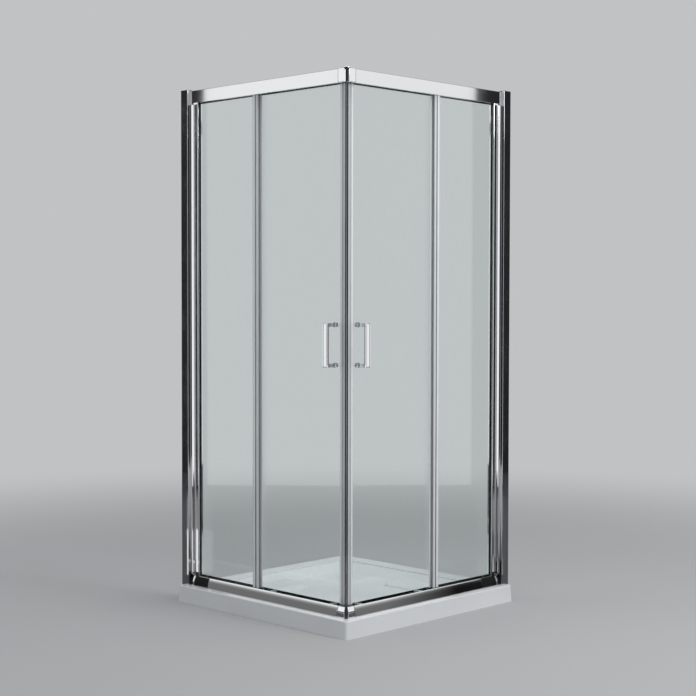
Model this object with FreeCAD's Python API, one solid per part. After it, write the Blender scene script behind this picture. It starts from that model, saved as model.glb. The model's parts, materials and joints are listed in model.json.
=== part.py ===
import FreeCAD, Part
import math
import os

from FreeCAD import Vector

# Corner shower enclosure with two sliding doors, in millimetres, +Z up.
# The origin is the middle of the tray's underside. The left side is glazed and faces -Y,
# the right side is glazed and faces +X, and the walls stand at -X and +Y.
# The doors meet at the front corner, at +X -Y. The left pieces are modelled, and each
# right piece is its left twin mirrored in the upright plane through the front corner.

# Tray
tray_side = 900.0
tray_height = 62.0
tray_flare = 4.0
tray_corner_radius = 9.0
tray_edge_radius = 3.0
rim_width = 76.0
rim_step = 4.0
rim_ledge = 7.0
basin_depth = 34.0
basin_mouth_radius = 42.0
basin_slope_width = 60.0
basin_floor_radius = 75.0
basin_floor_fillet = 12.0
pad_width = 174.0
pad_length = 374.0
pad_height = 13.0
pad_bevel = 9.0
pad_corner_radius = 48.0
pad_edge_fillet = 5.0

# Waste outlet
waste_inset = 149.0
waste_bore_radius = 35.0
waste_socket_length = 14.5
waste_stop_width = 2.0
waste_tube_wall = 4.0
waste_tube_height = 22.0
waste_hole_gap = 0.5
waste_rim_width = 17.0
waste_rim_height = 3.5
waste_rim_bevel = 1.0
waste_recess_depth = 3.0
waste_under_radius = 66.0
waste_under_depth = 13.0
waste_washer_width = 13.0
waste_washer_height = 2.0
waste_nut_width = 15.0
waste_nut_height = 6.0
waste_nut_notches = 6
waste_nut_notch = 5.0
waste_bridge_width = 8.0
waste_bridge_height = 5.0
grate_seat_width = 3.0
grate_height = 3.0
grate_gap = 0.3
grate_slots = 12
grate_slot_width = 4.0
grate_slot_start = 11.0
grate_slot_end = 32.0
grate_screw_radius = 2.0
grate_screw_head = 4.2
grate_screw_sink = 2.2
grate_screw_length = 9.0
grate_screw_gap = 0.15

# Rails
rail_inset = 33.0
rail_depth = 42.2
rail_wall = 1.8
rail_edge_radius = 2.5
enclosure_height = 1862.0
top_rail_height = 47.0
bottom_rail_height = 39.0
bottom_rail_upright = 21.0
bottom_rail_bevel = 4.5
bottom_rail_crease_radius = 40.0
rail_wall_gap = 10.0
slot_wall = 1.6
top_slot_lip = 3.0
bottom_slot_height = 26.0
track_width = 8.0
track_thickness = 2.0
top_track_rise = 7.0
bottom_track_rise = 15.0
bead_width = 2.0
bead_height = 1.5

# Corner connectors and keys
corner_cap_width = 42.5
corner_notch = 9.4
corner_lobe_radius = 10.0
corner_button_radius = 12.0
corner_button_height = 3.0
corner_button_round = 1.0
corner_seam_radius = 1.0
corner_lip_radius = 0.8
corner_key_arm = 82.0
corner_key_gap = 0.3
top_key_height = 34.0
bottom_key_height = 18.5
corner_key_chamfer = 12.0
corner_screw_inset = 62.0
corner_screw_radius = 2.0
corner_screw_length = 11.0
corner_screw_head = 3.8
corner_screw_head_height = 1.8
screw_gap = 0.15

# Wall profiles
wall_profile_width = 39.5
wall_profile_wall = 1.8
wall_profile_proud = 11.0
wall_profile_proud_inside = 5.0
wall_profile_edge_radius = 1.6
wall_profile_gap = 0.3
wall_profile_rise = 1.2
wall_hole_radius = 3.0
wall_hole_count = 4
wall_hole_end = 151.0
wall_cap_height = 2.0
wall_cap_plug = 9.0
wall_cap_gap = 0.2

# Jambs, with the blocks in their ends
jamb_band_start = 1.0
jamb_band_rise = 4.0
jamb_band_round_share = 0.85
jamb_face_end = 62.0
jamb_groove_width = 6.0
jamb_groove_depth = 4.6
jamb_end = 85.0
jamb_skin = 1.6
jamb_nose_set = 1.5
jamb_nose_radius = 4.0
jamb_nose_depth = 20.0
jamb_edge_radius = 1.2
jamb_plate_height = 6.0
block_gap = 0.2
block_plug = 25.0
block_length = 34.0
jamb_screw_inset = 20.0
jamb_screw_radius = 2.0
jamb_screw_reach = 8.0
jamb_screw_head = 4.5
jamb_screw_head_height = 2.6
jamb_screw_count = 3
jamb_screw_end = 148.0

# Fixed glass and its gaskets
fixed_glass_face = 8.0
fixed_glass_thickness = 6.0
fixed_glass_start = 50.0
fixed_glass_width = 352.0
fixed_glass_bite = 26.0
gasket_leg = 1.8
gasket_bed = 2.7
gasket_lip = 1.5
gasket_shoulder = 10.0
edge_seal_leg = 1.6
edge_seal_grip = 17.6
edge_seal_nose = 7.6
edge_seal_nose_set = 2.2
edge_seal_nose_radius = 1.6
edge_fin_width = 1.2
edge_fin_place = 4.0
edge_fin_gap = 0.7
seal_end_gap = 1.0

# Door glass, seals and travel
door_glass_face = 25.5
door_glass_thickness = 6.0
door_glass_overlap = 10.0
door_corner_gap = 47.0
door_top_gap = 8.0
door_bottom_gap = 6.0
trailing_leg = 1.4
trailing_wrap = 2.0
trailing_flange = 24.0
trailing_grip = 12.0
magnet_leg = 1.6
magnet_grip = 8.0
magnet_nose = 17.0
magnet_gap = 0.5
magnet_edge_radius = 1.2
door_travel = 290.0

# Rollers, two at the top and two at the bottom of each door
roller_inset = 60.0
roller_track_gap = 0.3
top_tread_radius = 10.0
bottom_tread_radius = 7.0
wheel_width = 5.0
wheel_flange = 1.5
wheel_rim_width = 0.8
wheel_groove_gap = 0.3
wheel_side_gap = 0.3
wheel_bore_gap = 0.08
axle_radius = 3.0
axle_head_radius = 4.5
axle_head_height = 1.5
bolt_shank_radius = 4.0
bolt_head_radius = 7.0
bolt_head_height = 3.4
bolt_head_bevel = 1.0
bush_wall = 1.9
bush_gap = 0.1
bush_flange = 1.0
bush_flange_radius = 8.0

# Door stops on the top track
stop_length = 9.0
stop_height = 13.0
stop_gap = 1.0
stop_side_gap = 0.3

# Handles
handle_bottom = 915.0
handle_length = 151.0
handle_inset = 35.0
handle_width = 20.0
handle_reach = 51.0
handle_bar = 13.6
handle_arm = 12.6
handle_corner_radius = 6.0
handle_inner_radius = 3.0
handle_edge_radius = 1.2
handle_crown = 1.5
handle_pad_radius = 8.5
handle_pad_height = 1.5
handle_screw_radius = 3.0
handle_screw_bite = 12.0
handle_screw_gap = 0.1
handle_cap_radius = 8.0
handle_cap_height = 4.5
handle_cap_round = 2.0

# One overrun for all cuts
overrun = 1.0

# Places that follow from the sizes
half_side = tray_side / 2
wall_face = -half_side
rail_face = half_side - rail_inset
rim_top = tray_height
bottom_rail_top = rim_top + bottom_rail_height
frame_top = rim_top + enclosure_height
top_rail_bottom = frame_top - top_rail_height
basin_mouth = half_side - rim_width
basin_floor = rim_top - basin_depth
waste_offset = basin_mouth - waste_inset
rail_start = wall_face + rail_wall_gap
rail_end = rail_face - corner_cap_width
slot_start = fixed_glass_face - gasket_leg
slot_end = fixed_glass_face + fixed_glass_thickness + gasket_leg
door_glass_back = door_glass_face + door_glass_thickness
glass_left = wall_face + fixed_glass_start
glass_right = glass_left + fixed_glass_width
door_left = glass_right - door_glass_overlap
door_right = rail_face - door_corner_gap
jamb_bottom = bottom_rail_top + jamb_plate_height
jamb_top = top_rail_bottom - jamb_plate_height
track_start = rail_depth - rail_wall - track_width
top_track = top_rail_bottom + top_track_rise + track_thickness
bottom_track = rim_top + bottom_track_rise + track_thickness
top_axle = top_track + bead_height + roller_track_gap + top_tread_radius
bottom_axle = bottom_track + bead_height + roller_track_gap + bottom_tread_radius
wheel_start = door_glass_back + bush_flange + wheel_side_gap
wheel_end = wheel_start + wheel_width
bead_start = (wheel_start + wheel_end - bead_width) / 2
door_top = frame_top - door_top_gap
door_bottom = rim_top + door_bottom_gap
roller_places = (door_left + roller_inset, door_right - roller_inset)
handle_centre = door_right - handle_inset
handle_arms = (handle_bottom + handle_arm / 2, handle_bottom + handle_length - handle_arm / 2)


def side_point(x, depth, z):
    """A point of the left side: x along it, depth in from the rails' outer face."""
    return Vector(x, depth - rail_face, z)


def box(low, high):
    size = high - low
    return Part.makeBox(size.x, size.y, size.z, low)


def corner_arc(before, corner, after, radius):
    """The start, middle and end of the arc that rounds one corner of an outline."""
    to_before = (before - corner).normalize()
    to_after = (after - corner).normalize()
    half_angle = to_before.getAngle(to_after) / 2
    setback = radius / math.tan(half_angle)
    bisector = (to_before + to_after).normalize()
    centre = corner + bisector * (radius / math.sin(half_angle))
    return corner + to_before * setback, centre - bisector * radius, corner + to_after * setback


def outline(corners, place):
    """A closed wire through (u, v) or (u, v, radius) corners, put in space by place(u, v)."""
    points = [place(corner[0], corner[1]) for corner in corners]
    starts, ends, arcs = [], [], []
    for i, corner in enumerate(corners):
        start, end, arc = points[i], points[i], None
        if len(corner) > 2:
            after = points[(i + 1) % len(points)]
            start, middle, end = corner_arc(points[i - 1], points[i], after, corner[2])
            arc = Part.Arc(start, middle, end).toShape()
        starts.append(start)
        ends.append(end)
        arcs.append(arc)
    edges = []
    for i, arc in enumerate(arcs):
        edges.append(Part.LineSegment(ends[i - 1], starts[i]).toShape())
        if arc:
            edges.append(arc)
    return Part.Wire(edges)


def along_x(corners, x0, x1):
    """A section of the left side in depth and height, drawn out along X."""
    wire = outline(corners, lambda depth, z: side_point(x0, depth, z))
    return Part.Face(wire).extrude(Vector(x1 - x0, 0, 0))


def along_z(corners, z0, z1):
    """A plan of the left side in x and depth, drawn upwards."""
    wire = outline(corners, lambda x, depth: side_point(x, depth, z0))
    return Part.Face(wire).extrude(Vector(0, 0, z1 - z0))


def turned_across(corners, x, z):
    """A section in radius and depth, turned about an axis that crosses the left side."""
    wire = outline(corners, lambda radius, depth: side_point(x, depth, z + radius))
    return Part.Face(wire).revolve(side_point(x, 0, z), Vector(0, 1, 0), 360)


def turned_upright(corners, x, y):
    """A section in radius and height, turned about an upright axis."""
    wire = outline(corners, lambda radius, z: Vector(x + radius, y, z))
    return Part.Face(wire).revolve(Vector(x, y, 0), Vector(0, 0, 1), 360)


def peg_across(x, z, radius, depth0, depth1):
    """A round peg, or the cutter for its hole, across the left side."""
    return Part.makeCylinder(radius, depth1 - depth0, side_point(x, depth0, z), Vector(0, 1, 0))


def mirrored(shape):
    """The right twin of a left piece."""
    return shape.mirror(Vector(0, 0, 0), Vector(1, 1, 0))


def square_wire(half, radius, z):
    corners = [(-half, -half, radius), (half, -half, radius), (half, half, radius), (-half, half, radius)]
    return outline(corners, lambda x, y: Vector(x, y, z))


def edges_at_height(shape, z):
    """The edges of a shape that lie wholly at one height."""
    tolerance = overrun / 1000
    return [edge for edge in shape.Edges
            if abs(edge.BoundBox.ZMin - z) < tolerance and abs(edge.BoundBox.ZMax - z) < tolerance]


def tray_pad():
    """The raised pad at the tray's left corner, with an overrun past the basin's mouth."""
    back = -basin_mouth - overrun
    wires = []
    for spread, z in ((pad_bevel, basin_floor), (0, basin_floor + pad_height)):
        right = pad_width - basin_mouth + spread
        rear = pad_length - basin_mouth + spread
        corners = [(back, back), (right, back), (right, rear, pad_corner_radius + spread), (back, rear)]
        wires.append(outline(corners, lambda x, y, height=z: Vector(x, y, height)))
    return Part.makeLoft(wires, True, True)


def tray_basin():
    """The hollow of the tray: a small step at its mouth, slopes, and a level floor."""
    mouth = Part.Face(square_wire(basin_mouth, basin_mouth_radius, rim_top - rim_step))
    mouth = mouth.extrude(Vector(0, 0, rim_step + overrun))
    slope_top = square_wire(basin_mouth - rim_ledge, basin_mouth_radius - rim_ledge, rim_top - rim_step)
    floor = square_wire(basin_mouth - basin_slope_width, basin_floor_radius, basin_floor)
    bowl = Part.makeLoft([floor, slope_top], True, True)
    pad = tray_pad()
    bowl = bowl.cut(pad).cut(mirrored(pad))
    bowl = bowl.makeFillet(basin_floor_fillet, edges_at_height(bowl, basin_floor))
    bowl = bowl.makeFillet(pad_edge_fillet, edges_at_height(bowl, basin_floor + pad_height))
    return mouth.fuse(bowl)


def shower_tray():
    upright = square_wire(half_side, tray_corner_radius, 0)
    rim = square_wire(half_side - tray_flare, tray_corner_radius, rim_top)
    tray = Part.makeLoft([upright, rim], True, True)
    tray = tray.makeFillet(tray_edge_radius, edges_at_height(tray, rim_top))
    tray = tray.cut(tray_basin())
    x, y = waste_offset, -waste_offset
    tube = waste_bore_radius + waste_tube_wall
    hole = [(0, -overrun), (waste_under_radius, -overrun), (waste_under_radius, waste_under_depth),
            (tube + waste_hole_gap, waste_under_depth),
            (tube + waste_hole_gap, basin_floor - waste_recess_depth),
            (tube + waste_rim_width + waste_hole_gap, basin_floor - waste_recess_depth),
            (tube + waste_rim_width + waste_hole_gap, basin_floor + overrun),
            (0, basin_floor + overrun)]
    return tray.cut(turned_upright(hole, x, y)).removeSplitter()


def waste_flange():
    """The waste's rim and tube, whose lower bore is the socket of the trap's inlet."""
    x, y = waste_offset, -waste_offset
    tube = waste_bore_radius + waste_tube_wall
    rim = tube + waste_rim_width
    rim_bottom = basin_floor - waste_recess_depth
    rim_up = rim_bottom + waste_rim_height
    seat = waste_bore_radius + grate_seat_width
    seat_z = rim_up - grate_height
    stop = waste_bore_radius - waste_stop_width
    tube_end = rim_bottom - waste_tube_height
    socket_end = tube_end + waste_socket_length
    section = [(waste_bore_radius, tube_end), (tube, tube_end), (tube, rim_bottom), (rim, rim_bottom),
               (rim, rim_up, waste_rim_bevel), (seat, rim_up), (seat, seat_z), (stop, seat_z),
               (stop, socket_end), (waste_bore_radius, socket_end)]
    flange = turned_upright(section, x, y)
    reach = waste_bore_radius + waste_tube_wall / 2
    bridge = box(Vector(x - reach, y - waste_bridge_width / 2, seat_z - waste_bridge_height),
                 Vector(x + reach, y + waste_bridge_width / 2, seat_z))
    hole = Part.makeCylinder(grate_screw_radius + grate_screw_gap, waste_bridge_height,
                             Vector(x, y, seat_z - waste_bridge_height))
    return flange.fuse(bridge.cut(hole)).removeSplitter()


def waste_washer():
    inner = waste_bore_radius + waste_tube_wall + waste_hole_gap
    outer = inner + waste_washer_width
    top = waste_under_depth
    bottom = top - waste_washer_height
    section = [(inner, bottom), (outer, bottom), (outer, top), (inner, top)]
    return turned_upright(section, waste_offset, -waste_offset)


def waste_nut():
    inner = waste_bore_radius + waste_tube_wall + waste_hole_gap / 2
    outer = inner + waste_nut_width
    top = waste_under_depth - waste_washer_height
    bottom = top - waste_nut_height
    nut = turned_upright([(inner, bottom), (outer, bottom), (outer, top), (inner, top)],
                         waste_offset, -waste_offset)
    for i in range(waste_nut_notches):
        notch = Part.makeCylinder(waste_nut_notch, waste_nut_height, Vector(outer, 0, bottom))
        notch.rotate(Vector(0, 0, 0), Vector(0, 0, 1), 360 * i / waste_nut_notches)
        notch.translate(Vector(waste_offset, -waste_offset, 0))
        nut = nut.cut(notch)
    return nut


def grate_top():
    return basin_floor - waste_recess_depth + waste_rim_height


def waste_grate():
    top = grate_top()
    radius = waste_bore_radius + grate_seat_width - grate_gap
    hole = grate_screw_radius + grate_screw_gap
    head = grate_screw_head + grate_screw_gap
    section = [(hole, top - grate_height), (radius, top - grate_height), (radius, top),
               (head, top), (hole, top - grate_screw_sink)]
    grate = turned_upright(section, waste_offset, -waste_offset)
    half = grate_slot_width / 2
    corners = [(grate_slot_start, -half, half / 2), (grate_slot_end, -half, half / 2),
               (grate_slot_end, half, half / 2), (grate_slot_start, half, half / 2)]
    for i in range(grate_slots):
        wire = outline(corners, lambda x, y: Vector(x, y, top - grate_height))
        slot = Part.Face(wire).extrude(Vector(0, 0, grate_height))
        slot.rotate(Vector(0, 0, 0), Vector(0, 0, 1), 360 * i / grate_slots)
        slot.translate(Vector(waste_offset, -waste_offset, 0))
        grate = grate.cut(slot)
    return grate


def waste_screw():
    top = grate_top()
    section = [(0, top - grate_screw_length), (grate_screw_radius, top - grate_screw_length),
               (grate_screw_radius, top - grate_screw_sink), (grate_screw_head, top), (0, top)]
    return turned_upright(section, waste_offset, -waste_offset)


def track_corners(top):
    """The track ledge and its bead, from the back wall's foot of the ledge and back to it."""
    wall = rail_depth - rail_wall
    return [(wall, top - track_thickness), (track_start, top - track_thickness), (track_start, top),
            (bead_start, top), (bead_start, top + bead_height),
            (bead_start + bead_width, top + bead_height), (bead_start + bead_width, top), (wall, top)]


def screw_hole_places():
    """Where a corner screw goes through the slot wall: its x, and its height in each rail."""
    x = rail_face - corner_screw_inset
    top = frame_top - rail_wall - top_key_height / 2
    bottom = rim_top + rail_wall + bottom_key_height / 2
    return x, (top, bottom)


def corner_screw_hole(z):
    x = screw_hole_places()[0]
    radius = corner_screw_radius + screw_gap
    return peg_across(x, z, radius, slot_end - corner_screw_length, slot_end + slot_wall + overrun)


def top_rail():
    web = frame_top - rail_wall
    slot_bottom = top_rail_bottom + top_slot_lip
    section = [(0, top_rail_bottom), (0, frame_top, rail_edge_radius),
               (rail_depth, frame_top, rail_edge_radius), (rail_depth, top_rail_bottom),
               (rail_depth - rail_wall, top_rail_bottom)]
    section += track_corners(top_track)
    section += [(rail_depth - rail_wall, web), (slot_end + slot_wall, web),
                (slot_end + slot_wall, slot_bottom), (slot_end, slot_bottom), (slot_end, web),
                (rail_wall, web), (rail_wall, top_rail_bottom)]
    return along_x(section, rail_start, rail_end).cut(corner_screw_hole(screw_hole_places()[1][0]))


def bottom_rail():
    web = rim_top + rail_wall
    slot_top = rim_top + bottom_slot_height
    crease = rim_top + bottom_rail_upright
    section = [(0, rim_top), (0, crease, bottom_rail_crease_radius), (bottom_rail_bevel, bottom_rail_top),
               (bottom_rail_bevel + rail_wall, bottom_rail_top),
               (rail_wall, crease, bottom_rail_crease_radius - rail_wall), (rail_wall, web),
               (slot_end, web), (slot_end, slot_top), (slot_end + slot_wall, slot_top),
               (slot_end + slot_wall, web), (rail_depth - rail_wall, web)]
    section += track_corners(bottom_track)
    section += [(rail_depth - rail_wall, bottom_rail_top), (rail_depth, bottom_rail_top),
                (rail_depth, rim_top)]
    return along_x(section, rail_start, rail_end).cut(corner_screw_hole(screw_hole_places()[1][1]))


def mitre_cutter(z0, z1):
    """All that lies on the right side's half of the front corner."""
    reach = tray_side
    corners = [(0, 0), (reach, -reach), (reach, reach), (0, reach)]
    wire = outline(corners, lambda x, y: Vector(x, y, z0 - overrun))
    return Part.Face(wire).extrude(Vector(0, 0, z1 - z0 + 2 * overrun))


def corner_pair(arm, z0, z1):
    """A left arm, cut at the mitre and joined to its twin."""
    arm = arm.cut(mitre_cutter(z0, z1))
    return arm.fuse(mirrored(arm)).removeSplitter()


def apex_notch(z0, z1):
    edge = rail_face - corner_notch
    low = Vector(edge, -rail_face - overrun, z0 - overrun)
    return box(low, Vector(rail_face + overrun, -edge, z1 + overrun))


def lobe_rounding():
    """What rounds a lobe of the top connector off at its upper outer corner."""
    edge = rail_face - corner_notch
    start = edge - corner_lobe_radius
    low = frame_top - corner_lobe_radius
    block = box(side_point(start, -overrun, low),
                side_point(edge + overrun, corner_notch, frame_top + overrun))
    return block.cut(peg_across(start, low, corner_lobe_radius, -overrun, corner_notch))


def corner_button():
    """The low round button that covers the head of the notch."""
    edge = rail_face - corner_notch
    top = frame_top + corner_button_height
    section = [(0, frame_top), (corner_button_radius, frame_top),
               (corner_button_radius, top, corner_button_round), (0, top)]
    return turned_upright(section, edge, -edge)


def upright_rounded(arm, x, radius):
    """A left arm with the outer edge that it has at one x rounded."""
    tolerance = overrun / 1000
    edges = [edge for edge in arm.Edges
             if abs(edge.BoundBox.XMin - x) < tolerance and abs(edge.BoundBox.XMax - x) < tolerance
             and edge.BoundBox.ZLength > 0 and edge.BoundBox.YMin < rail_wall / 2 - rail_face]
    return arm.makeFillet(radius, edges)


def connector_lobes(arm, z0, z1):
    """Both lobes of a connector, with rounded edges at the rails and at the notch between them."""
    arm = arm.cut(apex_notch(z0, z1))
    arm = upright_rounded(arm, rail_end, corner_seam_radius)
    arm = upright_rounded(arm, rail_face - corner_notch, corner_lip_radius)
    return corner_pair(arm, z0, z1)


def top_corner_connector():
    section = [(0, top_rail_bottom), (0, frame_top, rail_edge_radius), (corner_cap_width, frame_top),
               (corner_cap_width, frame_top - rail_wall), (rail_wall, frame_top - rail_wall),
               (rail_wall, top_rail_bottom)]
    arm = along_x(section, rail_end, rail_face).cut(lobe_rounding())
    lobes = connector_lobes(arm, top_rail_bottom, frame_top)
    return lobes.fuse(corner_button()).removeSplitter()


def bottom_corner_connector():
    crease = rim_top + bottom_rail_upright
    web = rim_top + rail_wall
    section = [(0, rim_top), (0, crease, bottom_rail_crease_radius), (bottom_rail_bevel, bottom_rail_top),
               (bottom_rail_bevel + rail_wall, bottom_rail_top),
               (rail_wall, crease, bottom_rail_crease_radius - rail_wall),
               (rail_wall, web), (corner_cap_width, web), (corner_cap_width, rim_top)]
    return connector_lobes(along_x(section, rail_end, rail_face), rim_top, bottom_rail_top)


def corner_key(z0, z1):
    """The dark L-shaped key in the rails' outer chamber, cut back at the notch."""
    face = rail_wall + corner_key_gap
    arm = box(side_point(rail_face - corner_key_arm, face, z0),
              side_point(rail_face, slot_end, z1))
    for z in screw_hole_places()[1]:
        arm = arm.cut(corner_screw_hole(z))
    key = corner_pair(arm, z0, z1)
    tip = rail_face - face
    corners = [(tip - corner_key_chamfer, -tip - overrun), (tip + overrun, -tip - overrun),
               (tip + overrun, -tip + corner_key_chamfer), (tip, -tip + corner_key_chamfer),
               (tip - corner_key_chamfer, -tip)]
    wire = outline(corners, lambda x, y: Vector(x, y, z0))
    return key.cut(Part.Face(wire).extrude(Vector(0, 0, z1 - z0)))


def corner_screws():
    """The four screws that pull the rails onto the corner keys."""
    x, heights = screw_hole_places()
    face = slot_end + slot_wall
    screws = []
    for z in heights:
        section = [(0, face - corner_screw_length), (corner_screw_radius, face - corner_screw_length),
                   (corner_screw_radius, face), (corner_screw_head, face),
                   (corner_screw_head, face + corner_screw_head_height, corner_screw_head_height / 2),
                   (0, face + corner_screw_head_height)]
        screw = turned_across(section, x, z)
        screws += [screw, mirrored(screw)]
    return Part.makeCompound(screws)


def even_heights(first, last, count):
    return [first + (last - first) * i / (count - 1) for i in range(count)]


def wall_hole_heights():
    return even_heights(rim_top + wall_hole_end, frame_top - wall_hole_end, wall_hole_count)


def jamb_screw_heights():
    return even_heights(bottom_rail_top + jamb_screw_end, top_rail_bottom - jamb_screw_end,
                        jamb_screw_count)


def wall_profile():
    """A lipped channel that takes the jamb and the rails' ends, and is screwed to the wall."""
    mouth = wall_face + wall_profile_width
    web = wall_face + wall_profile_wall
    outer = -wall_profile_proud
    inner = rail_depth + wall_profile_proud_inside
    radius = wall_profile_edge_radius
    corners = [(wall_face, outer, radius), (mouth, outer, radius), (mouth, -wall_profile_gap),
               (mouth - wall_profile_wall, -wall_profile_gap),
               (mouth - wall_profile_wall, outer + wall_profile_wall), (web, outer + wall_profile_wall),
               (web, inner - wall_profile_wall), (mouth - wall_profile_wall, inner - wall_profile_wall),
               (mouth - wall_profile_wall, rail_depth + wall_profile_gap),
               (mouth, rail_depth + wall_profile_gap), (mouth, inner, radius), (wall_face, inner, radius)]
    profile = along_z(corners, rim_top, frame_top + wall_profile_rise)
    for z in wall_hole_heights():
        start = side_point(wall_face, rail_depth / 2, z)
        hole = Part.makeCylinder(wall_hole_radius, wall_profile_wall, start, Vector(1, 0, 0))
        profile = profile.cut(hole)
    for z in jamb_screw_heights():
        profile = profile.cut(peg_across(wall_face + jamb_screw_inset, z, jamb_screw_radius + screw_gap,
                                         inner - wall_profile_wall, inner))
    return profile


def wall_profile_cap():
    mouth = wall_face + wall_profile_width
    outer = -wall_profile_proud
    inner = rail_depth + wall_profile_proud_inside
    radius = wall_profile_edge_radius
    top = frame_top + wall_profile_rise
    plate = along_z([(wall_face, outer, radius), (mouth, outer, radius), (mouth, inner, radius),
                     (wall_face, inner, radius)], top, top + wall_cap_height)
    inset = wall_profile_wall + wall_cap_gap
    plug = box(side_point(wall_face + inset, outer + inset, top - wall_cap_plug),
               side_point(rail_start - wall_cap_gap, inner - inset, top))
    return plate.fuse(plug).removeSplitter()


def jamb_back():
    """The corners that a jamb and its end plates share, from the nose round to the wall side."""
    face_end = wall_face + jamb_face_end
    end = wall_face + jamb_end
    pocket = glass_left - gasket_leg
    return [(end, jamb_nose_set, jamb_nose_radius), (end, slot_start), (pocket, slot_start),
            (pocket, slot_end), (end, slot_end), (end, jamb_nose_depth, jamb_edge_radius),
            (face_end, jamb_nose_depth), (face_end, rail_depth, jamb_edge_radius),
            (rail_start, rail_depth)]


def jamb():
    """The upright post: a crowned band, a groove, and a rounded nose that grips the glass."""
    face_end = wall_face + jamb_face_end
    groove_end = face_end + jamb_groove_width
    band_start = wall_face + wall_profile_width + jamb_band_start
    half_band = (face_end - band_start) / 2
    slope = math.atan(jamb_band_rise / half_band)
    crown = jamb_band_round_share * math.hypot(half_band, jamb_band_rise) / math.tan(slope)
    corners = [(rail_start, 0), (band_start, 0), (band_start + half_band, -jamb_band_rise, crown),
               (face_end, 0), (face_end, jamb_groove_depth), (groove_end, jamb_groove_depth),
               (groove_end, jamb_nose_set, jamb_edge_radius)]
    post = along_z(corners + jamb_back(), jamb_bottom, jamb_top)
    pocket = glass_left - gasket_leg
    for x0, x1, depth0 in ((rail_start + jamb_skin, pocket - jamb_skin, jamb_skin),
                           (pocket, face_end - jamb_skin, slot_end + jamb_skin)):
        hollow = box(side_point(x0, depth0, jamb_bottom),
                     side_point(x1, rail_depth - jamb_skin, jamb_top))
        post = post.cut(hollow)
    for z in jamb_screw_heights():
        post = post.cut(peg_across(wall_face + jamb_screw_inset, z, jamb_screw_radius + screw_gap,
                                   rail_depth - jamb_skin, rail_depth))
    return post


def rail_blocks():
    """The jamb's end blocks: a plate, a plug in the jamb, and a tongue that stands in the rail."""
    inset = jamb_skin + block_gap
    x0 = rail_start + inset
    x1 = x0 + block_length - block_gap
    tongue0 = slot_end + slot_wall + block_gap
    tongue1 = track_start - block_gap
    blocks = []
    for low, high, plug_low, plug_high, tongue_low, tongue_high in (
            (jamb_top, top_rail_bottom, jamb_top - block_plug, jamb_top,
             top_rail_bottom, frame_top - rail_wall),
            (bottom_rail_top, jamb_bottom, jamb_bottom, jamb_bottom + block_plug,
             rim_top + rail_wall, bottom_rail_top)):
        plate = along_z([(rail_start, 0), (wall_face + jamb_face_end, 0)] + jamb_back(), low, high)
        plug = box(side_point(x0, inset, plug_low), side_point(x1, rail_depth - inset, plug_high))
        tongue = box(side_point(x0, tongue0, tongue_low), side_point(x1, tongue1, tongue_high))
        blocks.append(plate.fuse(plug).fuse(tongue).removeSplitter())
    return Part.makeCompound(blocks)


def jamb_screws():
    face = rail_depth + wall_profile_proud_inside
    screws = []
    for z in jamb_screw_heights():
        tip = rail_depth - jamb_screw_reach
        section = [(0, tip), (jamb_screw_radius, tip), (jamb_screw_radius, face), (jamb_screw_head, face),
                   (jamb_screw_head, face + jamb_screw_head_height, jamb_screw_head_height / 2),
                   (0, face + jamb_screw_head_height)]
        screws.append(turned_across(section, wall_face + jamb_screw_inset, z))
    return Part.makeCompound(screws)


def fixed_glass_bottom():
    return rim_top + rail_wall + gasket_bed


def fixed_glass_top():
    return top_rail_bottom + fixed_glass_bite


def fixed_glass():
    return box(side_point(glass_left, fixed_glass_face, fixed_glass_bottom()),
               side_point(glass_right, fixed_glass_face + fixed_glass_thickness, fixed_glass_top()))


def fixed_glass_gaskets():
    """Three gaskets: in the bottom rail, in the top rail, and upright in the jamb."""
    front, back = fixed_glass_face, fixed_glass_face + fixed_glass_thickness
    start = wall_face + jamb_end + seal_end_gap
    end = glass_right - edge_seal_grip
    bed = rim_top + rail_wall
    leg = bottom_rail_bevel + rail_wall
    low = along_x([(leg, bed), (slot_end, bed), (slot_end, rim_top + bottom_slot_height),
                   (back, rim_top + bottom_slot_height), (back, bed + gasket_bed),
                   (front, bed + gasket_bed), (front, bottom_rail_top + gasket_lip),
                   (leg, bottom_rail_top + gasket_lip)], start, end)
    lip = top_rail_bottom + gasket_lip
    cover = fixed_glass_top() + gasket_leg
    high = along_x([(rail_wall, lip), (front, lip), (front, fixed_glass_top()),
                    (back, fixed_glass_top()), (back, top_rail_bottom + top_slot_lip),
                    (slot_end, top_rail_bottom + top_slot_lip), (slot_end, cover), (slot_start, cover),
                    (slot_start, lip + gasket_shoulder), (rail_wall, lip + gasket_shoulder)], start, end)
    pocket = glass_left - gasket_leg
    edge = wall_face + jamb_end + seal_end_gap
    upright = along_z([(pocket, slot_start), (edge, slot_start), (edge, front), (glass_left, front),
                       (glass_left, back), (edge, back), (edge, slot_end), (pocket, slot_end)],
                      bottom_rail_top + gasket_lip + seal_end_gap, top_rail_bottom - seal_end_gap)
    return Part.makeCompound([low, high, upright])


def fixed_edge_seal():
    """The seal on the fixed glass's free edge, with a fin that reaches towards the door."""
    front, back = fixed_glass_face, fixed_glass_face + fixed_glass_thickness
    start = glass_right - edge_seal_grip
    outer, inner = front - edge_seal_leg, back + edge_seal_leg
    tip = glass_right + edge_seal_nose
    fin = glass_right - edge_fin_place
    fin_end = door_glass_face - trailing_leg - edge_fin_gap
    corners = [(start, outer), (glass_right, outer), (tip, outer + edge_seal_nose_set, edge_seal_nose_radius),
               (tip, inner - edge_seal_nose_set, edge_seal_nose_radius), (glass_right, inner),
               (fin + edge_fin_width, inner), (fin, fin_end), (fin - edge_fin_width, fin_end),
               (fin - edge_fin_width, inner), (start, inner), (start, back), (glass_right, back),
               (glass_right, front), (start, front)]
    return along_z(corners, bottom_rail_top + gasket_lip + seal_end_gap, top_rail_bottom - seal_end_gap)


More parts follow.
